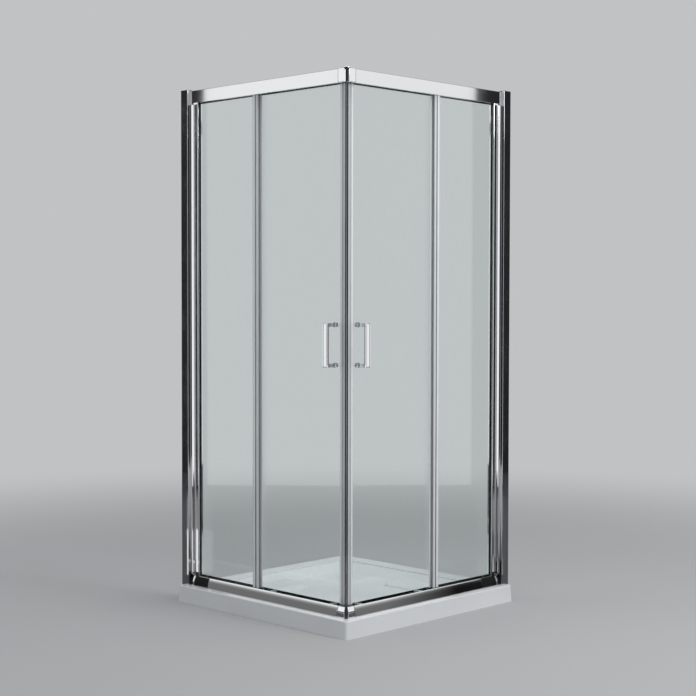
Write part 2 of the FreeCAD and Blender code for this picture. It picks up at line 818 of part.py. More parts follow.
def door_stops():
    """Two stops on the top track: one for the open door and one for the closed door."""
    rim = top_tread_radius + wheel_flange
    base = top_track + bead_height
    open_end = roller_places[0] - door_travel - rim - stop_gap
    closed_start = roller_places[1] + rim + stop_gap
    stops = []
    for x0 in (open_end - stop_length, closed_start):
        stops.append(along_z([(x0, track_start + stop_side_gap, stop_gap),
                              (x0 + stop_length, track_start + stop_side_gap, stop_gap),
                              (x0 + stop_length, rail_depth - rail_wall), (x0, rail_depth - rail_wall)],
                             base, base + stop_height))
    return Part.makeCompound(stops)


def roller_centres():
    return [(x, z) for z in (top_axle, bottom_axle) for x in roller_places]


def door_glass():
    glass = box(side_point(door_left, door_glass_face, door_bottom),
                side_point(door_right, door_glass_back, door_top))
    hole = bolt_shank_radius + bush_gap + bush_wall
    for x, z in roller_centres():
        glass = glass.cut(peg_across(x, z, hole, door_glass_face, door_glass_back))
    for z in handle_arms:
        glass = glass.cut(peg_across(handle_centre, z, handle_screw_radius + handle_screw_gap,
                                     door_glass_face, door_glass_back))
    return glass


def magnet_seal():
    """The leading edge's seal, whose magnet face lies on the mitre of the front corner."""
    outer, inner = door_glass_face - magnet_leg, door_glass_back + magnet_leg
    start, tip = door_right - magnet_grip, door_right + magnet_nose
    mitre = rail_face - magnet_gap
    corners = [(start, outer), (tip, outer, magnet_edge_radius), (tip, mitre - tip), (mitre - inner, inner),
               (start, inner), (start, door_glass_back), (door_right, door_glass_back),
               (door_right, door_glass_face), (start, door_glass_face)]
    return along_z(corners, bottom_rail_top + seal_end_gap, top_rail_bottom - seal_end_gap)


def trailing_seal():
    outer, inner = door_glass_face - trailing_leg, door_glass_back + trailing_leg
    wrap = door_left - trailing_wrap
    corners = [(door_left + trailing_flange, outer), (door_left + trailing_flange, door_glass_face),
               (door_left, door_glass_face), (door_left, door_glass_back),
               (door_left + trailing_grip, door_glass_back), (door_left + trailing_grip, inner),
               (wrap, inner), (wrap, outer)]
    return along_z(corners, bottom_rail_top + seal_end_gap, top_rail_bottom - seal_end_gap)


def handle():
    """A flat bow handle: an upright bar and two arms that end on soft pads on the glass."""
    foot = door_glass_face - handle_pad_height
    face = door_glass_face - handle_reach
    top = handle_bottom + handle_length
    back = face + handle_bar
    corners = [(foot, handle_bottom), (face, handle_bottom, handle_corner_radius),
               (face, top, handle_corner_radius), (foot, top), (foot, top - handle_arm),
               (back, top - handle_arm, handle_inner_radius),
               (back, handle_bottom + handle_arm, handle_inner_radius), (foot, handle_bottom + handle_arm)]
    half = handle_width / 2
    seat = side_point(handle_centre, foot, handle_bottom)
    bow = along_x(corners, handle_centre - half, handle_centre + half).translated(-seat)
    crown_radius = (half ** 2 + handle_crown ** 2) / (2 * handle_crown)
    bow = bow.common(Part.makeCylinder(crown_radius, handle_length, Vector(0, face + crown_radius - foot, 0)))
    sides = [edge for edge in bow.Edges if edge.BoundBox.XLength < half and edge.BoundBox.YMax < 0]
    bow = bow.makeFillet(handle_edge_radius, sides).translated(seat)
    for z in handle_arms:
        bow = bow.cut(peg_across(handle_centre, z, handle_screw_radius + handle_screw_gap,
                                 foot - handle_screw_bite, foot))
    return bow


def handle_fixings():
    """For each arm a soft pad outside the glass, and a screw whose domed cap lies inside it."""
    foot = door_glass_face - handle_pad_height
    pieces = []
    for z in handle_arms:
        bore = handle_screw_radius + handle_screw_gap
        pieces.append(turned_across([(bore, foot), (handle_pad_radius, foot),
                                     (handle_pad_radius, door_glass_face), (bore, door_glass_face)],
                                    handle_centre, z))
        tip = foot - handle_screw_bite + handle_screw_gap
        end = door_glass_back + handle_cap_height
        pieces.append(turned_across([(0, tip), (handle_screw_radius, tip),
                                     (handle_screw_radius, door_glass_back),
                                     (handle_cap_radius, door_glass_back),
                                     (handle_cap_radius, end, handle_cap_round), (0, end)],
                                    handle_centre, z))
    return Part.makeCompound(pieces)


def roller_bolts():
    """Each bolt clamps its bush to the glass and carries its wheel on a pin inside."""
    head = door_glass_face - bush_flange
    shoulder = door_glass_back + bush_flange
    pin_end = wheel_end + wheel_side_gap
    bolts = []
    for x, z in roller_centres():
        bolts.append(turned_across(
            [(0, head - bolt_head_height), (bolt_head_radius, head - bolt_head_height, bolt_head_bevel),
             (bolt_head_radius, head), (bolt_shank_radius, head), (bolt_shank_radius, shoulder),
             (axle_radius, shoulder), (axle_radius, pin_end), (axle_head_radius, pin_end),
             (axle_head_radius, pin_end + axle_head_height), (0, pin_end + axle_head_height)], x, z))
    return Part.makeCompound(bolts)


def roller_bushes():
    bore = bolt_shank_radius + bush_gap
    sleeve = bore + bush_wall
    front, back = door_glass_face - bush_flange, door_glass_back + bush_flange
    bushes = []
    for x, z in roller_centres():
        bushes.append(turned_across(
            [(bore, front), (bush_flange_radius, front), (bush_flange_radius, door_glass_face),
             (sleeve, door_glass_face), (sleeve, door_glass_back), (bush_flange_radius, door_glass_back),
             (bush_flange_radius, back), (bore, back)], x, z))
    return Part.makeCompound(bushes)


def wheel(x, z, tread):
    """A grooved wheel that straddles the bead of its track."""
    bore = axle_radius + wheel_bore_gap
    rim = tread + wheel_flange
    groove0 = bead_start - wheel_groove_gap
    groove1 = bead_start + bead_width + wheel_groove_gap
    return turned_across(
        [(bore, wheel_start), (rim, wheel_start), (rim, wheel_start + wheel_rim_width),
         (tread, groove0), (tread, groove1), (rim, wheel_end - wheel_rim_width), (rim, wheel_end),
         (bore, wheel_end)], x, z)


def left_pieces():
    pieces = {
        "wall_profile": wall_profile(),
        "wall_profile_cap": wall_profile_cap(),
        "jamb": jamb(),
        "jamb_screws": jamb_screws(),
        "rail_blocks": rail_blocks(),
        "top_rail": top_rail(),
        "bottom_rail": bottom_rail(),
        "fixed_glass": fixed_glass(),
        "fixed_glass_gaskets": fixed_glass_gaskets(),
        "fixed_edge_seal": fixed_edge_seal(),
        "door_stops": door_stops(),
        "door_glass": door_glass(),
        "door_magnet_seal": magnet_seal(),
        "door_trailing_seal": trailing_seal(),
        "door_handle": handle(),
        "handle_fixings": handle_fixings(),
        "roller_bolts": roller_bolts(),
        "roller_bushes": roller_bushes(),
    }
    for end, x in zip(("wall_side", "corner_side"), roller_places):
        pieces["top_wheel_" + end] = wheel(x, top_axle, top_tread_radius)
        pieces["bottom_wheel_" + end] = wheel(x, bottom_axle, bottom_tread_radius)
    return pieces


def all_pieces():
    pieces = {
        "shower_tray": shower_tray(),
        "waste_flange": waste_flange(),
        "waste_washer": waste_washer(),
        "waste_nut": waste_nut(),
        "waste_grate": waste_grate(),
        "waste_screw": waste_screw(),
        "top_corner_connector": top_corner_connector(),
        "bottom_corner_connector": bottom_corner_connector(),
        "top_corner_key": corner_key(frame_top - rail_wall - top_key_height, frame_top - rail_wall),
        "bottom_corner_key": corner_key(rim_top + rail_wall, rim_top + rail_wall + bottom_key_height),
        "corner_screws": corner_screws(),
    }
    for name, shape in left_pieces().items():
        pieces["left_" + name] = shape
        pieces["right_" + name] = mirrored(shape)
    return pieces


os.makedirs("parts", exist_ok=True)
for name, shape in all_pieces().items():
    shape.exportStep(os.path.join("parts", name + ".step"))
    print(name, len(shape.Solids), shape.isValid(), round(shape.Volume))
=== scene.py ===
import json
import math

import bpy
from mathutils import Matrix, Vector


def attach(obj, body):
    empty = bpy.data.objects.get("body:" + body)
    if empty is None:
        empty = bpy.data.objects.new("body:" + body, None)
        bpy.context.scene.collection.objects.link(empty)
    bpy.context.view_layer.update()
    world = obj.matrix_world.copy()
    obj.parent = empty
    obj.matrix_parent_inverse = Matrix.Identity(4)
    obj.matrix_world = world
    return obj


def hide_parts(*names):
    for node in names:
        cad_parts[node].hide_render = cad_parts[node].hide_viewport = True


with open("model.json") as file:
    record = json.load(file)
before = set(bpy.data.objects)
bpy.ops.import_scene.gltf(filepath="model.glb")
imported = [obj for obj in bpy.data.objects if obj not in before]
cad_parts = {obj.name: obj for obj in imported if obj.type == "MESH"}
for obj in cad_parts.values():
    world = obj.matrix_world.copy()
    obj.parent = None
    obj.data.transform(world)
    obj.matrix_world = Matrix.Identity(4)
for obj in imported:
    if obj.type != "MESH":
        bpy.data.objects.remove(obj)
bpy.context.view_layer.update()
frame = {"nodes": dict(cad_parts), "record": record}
nodes = frame["nodes"]
print("frame loaded:", len(nodes), "nodes")

sides = ("left", "right")
mm = 0.001
squareOn = 0.9   # a face whose normal has this share along a way faces that way
smoothAngle = math.radians(32)   # joints of faces that turn by less are shaded smooth


photoCamera = {
    "place": (3.8506, -3.8941, 1.1610),
    "turn": 44.584,   # degrees about the upright
    "tilt": 87.915,   # 90 looks level
    "roll": 0.086,
    "lens": 75.09,
    "sensor": 36.0,
    "clip": (0.05, 200.0),
}


def addCamera():
    bpy.ops.object.camera_add()
    camera = bpy.context.object
    camera.name = "photoCamera"
    turn = Matrix.Rotation(math.radians(photoCamera["turn"]), 4, "Z")
    tilt = Matrix.Rotation(math.radians(photoCamera["tilt"]), 4, "X")
    roll = Matrix.Rotation(math.radians(photoCamera["roll"]), 4, "Z")
    camera.matrix_world = Matrix.Translation(photoCamera["place"]) @ turn @ tilt @ roll
    camera.data.lens = photoCamera["lens"]
    camera.data.sensor_width = photoCamera["sensor"]
    camera.data.clip_start, camera.data.clip_end = photoCamera["clip"]
    bpy.context.scene.camera = camera


def deselectAll():
    bpy.ops.object.select_all(action="DESELECT")


def makeActive(piece):
    deselectAll()
    piece.select_set(True)
    bpy.context.view_layer.objects.active = piece


def pickFaces(piece, wanted):
    # leaves the piece in edit mode with only the wanted faces selected
    makeActive(piece)
    bpy.ops.object.mode_set(mode="EDIT")
    bpy.ops.mesh.select_mode(type="FACE")
    bpy.ops.mesh.select_all(action="DESELECT")
    bpy.ops.object.mode_set(mode="OBJECT")
    for face in piece.data.polygons:
        face.select = wanted(face)
    bpy.ops.object.mode_set(mode="EDIT")


def pickCorners(piece, wanted):
    # leaves the piece in edit mode with only the wanted vertices selected
    makeActive(piece)
    bpy.ops.object.mode_set(mode="EDIT")
    bpy.ops.mesh.select_mode(type="VERT")
    bpy.ops.mesh.select_all(action="DESELECT")
    bpy.ops.object.mode_set(mode="OBJECT")
    for vertex in piece.data.vertices:
        vertex.select = wanted(vertex)
    bpy.ops.object.mode_set(mode="EDIT")


def addNode(tree, kind, **values):
    node = tree.nodes.new(kind)
    for name, value in values.items():
        setattr(node, name, value)
    return node


backdrop = {
    "seen": (0.53, 0.54, 0.55),   # what the camera, metal and glass see
    "light": (0.30, 0.31, 0.325),  # what lights the object
    "floor": (0.50, 0.505, 0.51),
    "floorFade": (1.1, 4.6),      # metres from the middle, from lit floor to backdrop
    "floorReach": 30.0,
    "floorSides": 96,
    "floorRoughness": 0.9,
}


def addBackdrop():
    world = bpy.data.worlds.new("paleStudio")
    bpy.context.scene.world = world
    world.use_nodes = True
    tree = world.node_tree
    tree.nodes.clear()
    path = addNode(tree, "ShaderNodeLightPath")
    cameraOrMetal = addNode(tree, "ShaderNodeMath", operation="MAXIMUM")
    orGlass = addNode(tree, "ShaderNodeMath", operation="MAXIMUM")
    light = addNode(tree, "ShaderNodeBackground")
    seen = addNode(tree, "ShaderNodeBackground")
    mix = addNode(tree, "ShaderNodeMixShader")
    output = addNode(tree, "ShaderNodeOutputWorld")
    light.inputs["Color"].default_value = (*backdrop["light"], 1)
    seen.inputs["Color"].default_value = (*backdrop["seen"], 1)
    tree.links.new(path.outputs["Is Camera Ray"], cameraOrMetal.inputs[0])
    tree.links.new(path.outputs["Is Glossy Ray"], cameraOrMetal.inputs[1])
    tree.links.new(cameraOrMetal.outputs[0], orGlass.inputs[0])
    tree.links.new(path.outputs["Is Transmission Ray"], orGlass.inputs[1])
    tree.links.new(orGlass.outputs[0], mix.inputs["Fac"])
    tree.links.new(light.outputs[0], mix.inputs[1])
    tree.links.new(seen.outputs[0], mix.inputs[2])
    tree.links.new(mix.outputs[0], output.inputs["Surface"])

    deselectAll()
    bpy.ops.mesh.primitive_circle_add(vertices=backdrop["floorSides"], radius=backdrop["floorReach"],
                                      fill_type="NGON")
    floor = bpy.context.object
    floor.name = "paleFloor"
    paint = bpy.data.materials.new("floorPaint")
    paint.use_nodes = True
    shader = paint.node_tree.nodes["Principled BSDF"]
    shader.inputs["Base Color"].default_value = (*backdrop["floor"], 1)
    shader.inputs["Roughness"].default_value = backdrop["floorRoughness"]
    shader.inputs["Specular IOR Level"].default_value = 0   # dull, so it mirrors no card
    paintTree = paint.node_tree
    position = addNode(paintTree, "ShaderNodeTexCoord").outputs["Object"]
    reach = addNode(paintTree, "ShaderNodeVectorMath", operation="LENGTH")
    fade = addNode(paintTree, "ShaderNodeMapRange", interpolation_type="SMOOTHSTEP")
    fade.inputs["From Min"].default_value, fade.inputs["From Max"].default_value = backdrop["floorFade"]
    far = addNode(paintTree, "ShaderNodeEmission")
    far.inputs["Color"].default_value = (*backdrop["seen"], 1)
    blend = addNode(paintTree, "ShaderNodeMixShader")
    paintTree.links.new(position, reach.inputs[0])
    paintTree.links.new(reach.outputs["Value"], fade.inputs["Value"])
    paintTree.links.new(fade.outputs["Result"], blend.inputs["Fac"])
    paintTree.links.new(shader.outputs[0], blend.inputs[1])
    paintTree.links.new(far.outputs[0], blend.inputs[2])
    paintTree.links.new(blend.outputs[0], paintTree.nodes["Material Output"].inputs["Surface"])
    floor.data.materials.append(paint)


# Each panel stands where the flat faces of one side mirror it to the photo's camera
studioPanels = {
    "leftPanel": {"azimuth": 222.1, "shift": 0.46, "distance": 3.5, "height": 1.45,
                  "size": (1.0, 2.8), "radiance": 1.0},
    "rightPanel": {"azimuth": 48.6, "shift": -0.54, "distance": 3.5, "height": 1.45,
                   "size": (1.0, 2.8), "radiance": 0.95},
    "keyLight": {"azimuth": 4.0, "shift": 0.0, "distance": 4.2, "height": 3.0,
                 "size": (1.8, 1.8), "radiance": 6.6},
    "topLight": {"azimuth": 330.0, "shift": 0.0, "distance": 0.5, "height": 4.6,
                 "size": (2.4, 2.4), "radiance": 4.4},
}
lampAim = Vector((0, 0, 1.0))
# The ring of cards and the cards on the floor, which only metal and gloss see: painted dark and pale
# reflections;
# arcs are in degrees anticlockwise from +X
cards = {
    "darkArcs": ((213.0, 236.0), (34.0, 57.0), (272.0, 310.0), (321.0, 358.0)),
    "paleArcs": ((184.0, 213.0), (236.0, 264.0), (57.0, 86.0), (6.0, 34.0)),
    "reach": 4.6,
    "height": 4.2,
    "steps": 180,
    "dark": (0.012, 0.012, 0.013),
    "pale": (0.98, 0.985, 0.99),
    # the floor cards paint a dark reflection of the floor, darker than the pale floor itself
    "floor": (0.05, 0.05, 0.052),
    "roughness": 0.9,
    "floorHeight": 2 * mm,
    "floorParts": (((-4.2, -4.0), (0.30, -0.56)), ((0.56, -0.30), (4.0, 4.2))),
}
# These cards glow or stay dark for metal and gloss alone: painted reflections.
# Small cards close to the foot, in metres on the left side. The bottom rail's slope mirrors the first,
# its end beside the jamb the second, and the jamb's foot the third
footCards = {
    "Rail": {"away": 0.567, "along": (-0.487, 0.2265), "heights": (0.0, 0.128)},
    "RailEnd": {"away": 0.447, "along": (-0.426, -0.344), "heights": (0.062, 0.107)},
    "Jamb": {"away": 0.567, "along": (-0.59, -0.487), "heights": (0.06, 0.41)},
}
# How bright each card glows at rising heights, its painted reflection; the cards that have no tones are
# dark paper, a painted dark reflection
paintedReflectionTones = {
    "leftRail": ((0.0, 0.17), (0.112, 0.19), (0.117, 0.25), (0.1205, 0.38), (0.1245, 0.58), (0.128, 1.0)),
    "leftJamb": ((0.06, 0.95), (0.236, 0.95), (0.244, 0.30), (0.35, 0.26), (0.41, 0.02)),
    "rightJamb": ((0.06, 0.45), (0.12, 0.32), (0.145, 0.12), (0.214, 0.12), (0.24, 0.22), (0.35, 0.25),
                  (0.41, 0.02)),
}
paintedReflectionTones["rightRail"] = paintedReflectionTones["leftRail"]
# Where a card's painted reflection brightens along its side: from, to, and the share that it starts at
paintedReflectionFade = {"rightRail": (-0.33, 0.07, 0.05)}


def studioPlace(facts):
    # shift runs anticlockwise seen from above; a panel faces the enclosure's middle
    angle = math.radians(facts["azimuth"])
    out = Vector((math.cos(angle), math.sin(angle), 0))
    across = Vector((-out.y, out.x, 0))
    return out * facts["distance"] + across * facts["shift"] + Vector((0, 0, facts["height"]))


def makePaintedReflection(name, key):
    # paper that glows by itself, a painted reflection, in tones that go by its height, and for some by the
    # place along it too
    paper = bpy.data.materials.new(name)
    paper.use_nodes = True
    tree = paper.node_tree
    tree.nodes.remove(tree.nodes["Principled BSDF"])
    place = addNode(tree, "ShaderNodeSeparateXYZ")
    tree.links.new(addNode(tree, "ShaderNodeTexCoord").outputs["Object"], place.inputs[0])
    low, high = paintedReflectionTones[key][0][0], paintedReflectionTones[key][-1][0]
    up = addNode(tree, "ShaderNodeMapRange")
    up.inputs["From Min"].default_value = low
    up.inputs["From Max"].default_value = high
    tree.links.new(place.outputs["Z"], up.inputs["Value"])
    tones = addNode(tree, "ShaderNodeValToRGB")
    tree.links.new(up.outputs["Result"], tones.inputs["Fac"])
    stops = tones.color_ramp.elements
    for index, (height, tone) in enumerate(paintedReflectionTones[key]):
        share = (height - low) / (high - low)
        stop = stops[index] if index < 2 else stops.new(share)   # a ramp starts with two stops
        stop.position = share
        stop.color = (tone, tone, tone, 1)
    glow = addNode(tree, "ShaderNodeEmission")
    tree.links.new(tones.outputs["Color"], glow.inputs["Color"])
    if key in paintedReflectionFade:
        start, end, dark = paintedReflectionFade[key]
        right = key.startswith("right")
        fade = addNode(tree, "ShaderNodeMapRange")
        fade.inputs["From Min"].default_value = -start if right else start
        fade.inputs["From Max"].default_value = -end if right else end
        fade.inputs["To Min"].default_value = dark
        tree.links.new(place.outputs["Y" if right else "X"], fade.inputs["Value"])
        tree.links.new(fade.outputs["Result"], glow.inputs["Strength"])
    tree.links.new(glow.outputs[0], tree.nodes["Material Output"].inputs["Surface"])
    return paper


def makeFootCard(side, kind, darkPaper):
    facts = footCards[kind]
    (start, end), (low, high), away = facts["along"], facts["heights"], facts["away"]
    along, height = (start + end) / 2, (low + high) / 2
    quarter = math.radians(90)
    deselectAll()
    bpy.ops.mesh.primitive_plane_add(
        size=1, location=(along, -away, height) if side == "left" else (away, -along, height),
        rotation=(quarter, 0, 0 if side == "left" else quarter))
    card = bpy.context.object
    card.name = side + kind + "Card"
    card.scale = (end - start, high - low, 1)
    bpy.ops.object.transform_apply()
    key = side + kind
    card.data.materials.append(makePaintedReflection(card.name, key) if key in paintedReflectionTones else darkPaper)
    return card


def addLamps():
    for name, facts in studioPanels.items():
        place = studioPlace(facts)
        bpy.ops.object.light_add(type="AREA", location=place)
        lamp = bpy.context.object
        lamp.name = name
        look = lampAim - place
        if name.endswith("Panel"):   # the panels stand upright
            look.z = 0
        lamp.rotation_euler = look.to_track_quat("-Z", "Y").to_euler()
        lamp.data.shape = "RECTANGLE"
        lamp.data.size, lamp.data.size_y = facts["size"]
        lamp.data.energy = facts["radiance"] * math.pi * facts["size"][0] * facts["size"][1]
        lamp.visible_camera = False
        lamp.visible_transmission = False


def makePapers():
    papers = {}
    for part in ("dark", "pale", "floor"):
        paper = papers[part] = bpy.data.materials.new(part + "Paper")
        paper.use_nodes = True
        shader = paper.node_tree.nodes["Principled BSDF"]
        shader.inputs["Roughness"].default_value = cards["roughness"]
        # the pale paper glows, though it is no lamp, as a painted reflection
        if part == "pale":   # it glows, so that it is white all over
            shader.inputs["Base Color"].default_value = (0, 0, 0, 1)
            shader.inputs["Specular IOR Level"].default_value = 0
            shader.inputs["Emission Color"].default_value = (*cards[part], 1)
            shader.inputs["Emission Strength"].default_value = 1
        else:
            shader.inputs["Base Color"].default_value = (*cards[part], 1)
    return papers


def inArcs(face, arcs):
    angle = math.degrees(math.atan2(face.center.y, face.center.x)) % 360
    return any(start < angle < end for start, end in arcs)


def makeRingCards(papers):
    deselectAll()
    bpy.ops.mesh.primitive_cylinder_add(
        vertices=cards["steps"], radius=cards["reach"], depth=cards["height"],
        end_fill_type="NOTHING", location=(0, 0, cards["height"] / 2))
    ring = bpy.context.object
    ring.name = "ringCards"
    ring.data.materials.append(papers["dark"])
    ring.data.materials.append(papers["pale"])
    pickFaces(ring, lambda face: not inArcs(face, cards["darkArcs"] + cards["paleArcs"]))
    bpy.ops.mesh.delete(type="FACE")
    bpy.ops.object.mode_set(mode="OBJECT")
    for face in ring.data.polygons:
        face.material_index = 1 if inArcs(face, cards["paleArcs"]) else 0
    return ring


def makeFloorCard(corners, paper):
    (lowX, lowY), (highX, highY) = corners
    deselectAll()
    bpy.ops.mesh.primitive_plane_add(
        size=1, location=((lowX + highX) / 2, (lowY + highY) / 2, cards["floorHeight"]))
    bpy.ops.object.mode_set(mode="EDIT")
    bpy.ops.transform.resize(value=(highX - lowX, highY - lowY, 1))
    bpy.ops.object.mode_set(mode="OBJECT")
    card = bpy.context.object
    card.data.materials.append(paper)
    return card


def addCards():
    papers = makePapers()
    flags = [makeRingCards(papers)]
    flags += [makeFloorCard(corners, papers["floor"]) for corners in cards["floorParts"]]
    flags += [makeFootCard(side, kind, papers["dark"]) for side in sides for kind in footCards]
    # none of them lights, shades or shows to the camera: they are painted reflections alone
    for flag in flags:
        flag.visible_camera = flag.visible_diffuse = flag.visible_transmission = flag.visible_shadow = False


addCamera()
addBackdrop()
addLamps()
addCards()
bpy.context.scene.view_settings.view_transform = "Standard"
print("studio ready")


def newGroup(name, inputs, outputs):
    group = bpy.data.node_groups.new(name, "ShaderNodeTree")
    for label, kind, value in inputs:
        socket = group.interface.new_socket(name=label, in_out="INPUT", socket_type=kind)
        if value is not None:
            socket.default_value = value
    for label, kind in outputs:
        group.interface.new_socket(name=label, in_out="OUTPUT", socket_type=kind)
    return group, addNode(group, "NodeGroupInput"), addNode(group, "NodeGroupOutput")


grainRange = (0.35, 0.65)   # the part of the noise's range that the mask is spread over
grainDetail = 3
facingRange = (0.7, 0.95)   # how far a normal lies along the way, where the mask starts and is full


def makeGrainGroup():
    # noise stretched along the way a surface was drawn, moulded or wiped
    group, start, end = newGroup(
        "surfaceGrain",
        [("Position", "NodeSocketVector", None), ("Stretch", "NodeSocketVector", (100, 100, 100)),
         ("Low", "NodeSocketFloat", grainRange[0]), ("High", "NodeSocketFloat", grainRange[1])],
        [("Mask", "NodeSocketFloat"), ("Height", "NodeSocketFloat")])
    stretch = addNode(group, "ShaderNodeVectorMath", operation="MULTIPLY")
    noise = addNode(group, "ShaderNodeTexNoise")
    noise.inputs["Scale"].default_value = 1
    noise.inputs["Detail"].default_value = grainDetail
    spread = addNode(group, "ShaderNodeMapRange")
    group.links.new(start.outputs["Position"], stretch.inputs[0])
    group.links.new(start.outputs["Stretch"], stretch.inputs[1])
    group.links.new(stretch.outputs[0], noise.inputs["Vector"])
    group.links.new(noise.outputs["Fac"], spread.inputs["Value"])
    group.links.new(start.outputs["Low"], spread.inputs["From Min"])
    group.links.new(start.outputs["High"], spread.inputs["From Max"])
    group.links.new(spread.outputs["Result"], end.inputs["Mask"])
    group.links.new(noise.outputs["Fac"], end.inputs["Height"])
    return group


def makeFacingGroup():
    # 1 where the surface faces along Way, either way round, and 0 where it turns from it
    group, start, end = newGroup(
        "facesAlong",
        [("Normal", "NodeSocketVector", None), ("Way", "NodeSocketVector", (0, 0, 1)),
         ("Low", "NodeSocketFloat", facingRange[0]), ("High", "NodeSocketFloat", facingRange[1])],
        [("Mask", "NodeSocketFloat")])
    dot = addNode(group, "ShaderNodeVectorMath", operation="DOT_PRODUCT")
    size = addNode(group, "ShaderNodeMath", operation="ABSOLUTE")
    spread = addNode(group, "ShaderNodeMapRange")
    group.links.new(start.outputs["Normal"], dot.inputs[0])
    group.links.new(start.outputs["Way"], dot.inputs[1])
    group.links.new(dot.outputs["Value"], size.inputs[0])
    group.links.new(size.outputs[0], spread.inputs["Value"])
    group.links.new(start.outputs["Low"], spread.inputs["From Min"])
    group.links.new(start.outputs["High"], spread.inputs["From Max"])
    group.links.new(spread.outputs["Result"], end.inputs["Mask"])
    return group


grainGroup = makeGrainGroup()
facingGroup = makeFacingGroup()


def startFinish(name):
    material = bpy.data.materials.new(name)
    material.use_nodes = True
    tree = material.node_tree
    position = addNode(tree, "ShaderNodeTexCoord").outputs["Object"]
    return material, tree, tree.nodes["Principled BSDF"], position


def addGrain(tree, position, stretch, spread=grainRange):
    grain = addNode(tree, "ShaderNodeGroup", node_tree=grainGroup)
    tree.links.new(position, grain.inputs["Position"])
    grain.inputs["Stretch"].default_value = stretch
    grain.inputs["Low"].default_value, grain.inputs["High"].default_value = spread
    return grain


def feed(tree, value, socket):
    # a socket takes another socket's value, a colour or a number
    if isinstance(value, bpy.types.NodeSocket):
        tree.links.new(value, socket)
    else:
        socket.default_value = (*value, 1) if isinstance(value, tuple) else value


def mixColours(tree, mask, first, second):
    # sockets 6 and 7 of a mix node take colours, and output 2 gives the mixed one
    mix = addNode(tree, "ShaderNodeMix", data_type="RGBA")
    feed(tree, mask, mix.inputs[0])
    feed(tree, first, mix.inputs[6])
    feed(tree, second, mix.inputs[7])
    return mix.outputs[2]


def mixNumbers(tree, mask, first, second):
    # sockets 2 and 3 of a mix node take numbers, and output 0 gives the mixed one
    mix = addNode(tree, "ShaderNodeMix", data_type="FLOAT")
    feed(tree, mask, mix.inputs[0])
    feed(tree, first, mix.inputs[2])
    feed(tree, second, mix.inputs[3])
    return mix.outputs[0]


def spreadValue(tree, mask, low, high):
    spread = addNode(tree, "ShaderNodeMapRange")
    feed(tree, mask, spread.inputs["Value"])
    feed(tree, low, spread.inputs["To Min"])
    feed(tree, high, spread.inputs["To Max"])
    return spread.outputs["Result"]


def combine(tree, operation, first, second):
    result = addNode(tree, "ShaderNodeMath", operation=operation)
    feed(tree, first, result.inputs[0])
    feed(tree, second, result.inputs[1])
    return result.outputs[0]


def addRelief(tree, height, depth, under=None):
    # a bump by so many metres, laid over another one's normal
    bump = addNode(tree, "ShaderNodeBump")
    bump.inputs["Strength"].default_value = 1
    bump.inputs["Distance"].default_value = depth
    tree.links.new(height, bump.inputs["Height"])
    if under is not None:
        tree.links.new(under, bump.inputs["Normal"])
    return bump.outputs["Normal"]


polish = {
    "silver": {"pale": (0.79, 0.80, 0.81), "deep": (0.76, 0.77, 0.785), "smooth": 0.05, "dull": 0.10,
               "wave": 6e-6, "line": 3e-7},
    "chrome": {"pale": (0.83, 0.84, 0.85), "deep": (0.80, 0.81, 0.825), "smooth": 0.03, "dull": 0.09,
               "wave": 4e-6, "line": 1e-7},
    "steel": {"pale": (0.68, 0.69, 0.70), "deep": (0.56, 0.57, 0.58), "smooth": 0.22, "dull": 0.36,
              "wave": 4e-6, "line": 1e-6},
}


# How fine the metal's marks are: along the way that it was drawn, and across it
drawnMarks = {"lines": (3.0, 900.0), "wave": (1.3, 55.0)}
touched = {"size": (9.0, 9.0, 9.0), "range": (0.45, 0.72)}


def makePolished(name, facts, along):
    # along is the way the metal was drawn and buffed: x, y or z
    material, tree, shader, position = startFinish(name)
    marks = {}
    for kind, (drawn, across) in drawnMarks.items():
        marks[kind] = addGrain(tree, position, [drawn if axis == along else across for axis in "xyz"])
    touch = addGrain(tree, position, touched["size"], touched["range"])
    lines = marks["lines"].outputs["Mask"]
    feed(tree, mixColours(tree, lines, facts["deep"], facts["pale"]), shader.inputs["Base Color"])
    worn = combine(tree, "MULTIPLY", lines, touch.outputs["Mask"])
    feed(tree, spreadValue(tree, worn, facts["smooth"], facts["dull"]), shader.inputs["Roughness"])
    shader.inputs["Metallic"].default_value = 1
    wave = addRelief(tree, marks["wave"].outputs["Height"], facts["wave"])
    relief = addRelief(tree, marks["lines"].outputs["Height"], facts["line"], wave)
    feed(tree, relief, shader.inputs["Normal"])
    return material


acrylic = {
    "white": (0.86, 0.872, 0.885), "shade": (0.835, 0.85, 0.865), "smooth": 0.10, "dull": 0.24,
    "drift": (5.0, 5.0, 5.0), "peelGrain": (260.0, 260.0, 260.0), "peel": 4e-6, "index": 1.49,
}
laminate = {   # the bare fibre under the tray: below top, on faces that look down by more than downward
    "colour": (0.62, 0.60, 0.53), "dull": 0.75, "strandGrain": (420.0, 60.0, 200.0), "strands": 2e-4,
    "top": 16 * mm, "downward": -0.5,
}


def splitPlace(tree, place):
    split = addNode(tree, "ShaderNodeSeparateXYZ")
    tree.links.new(place, split.inputs[0])
    return split.outputs


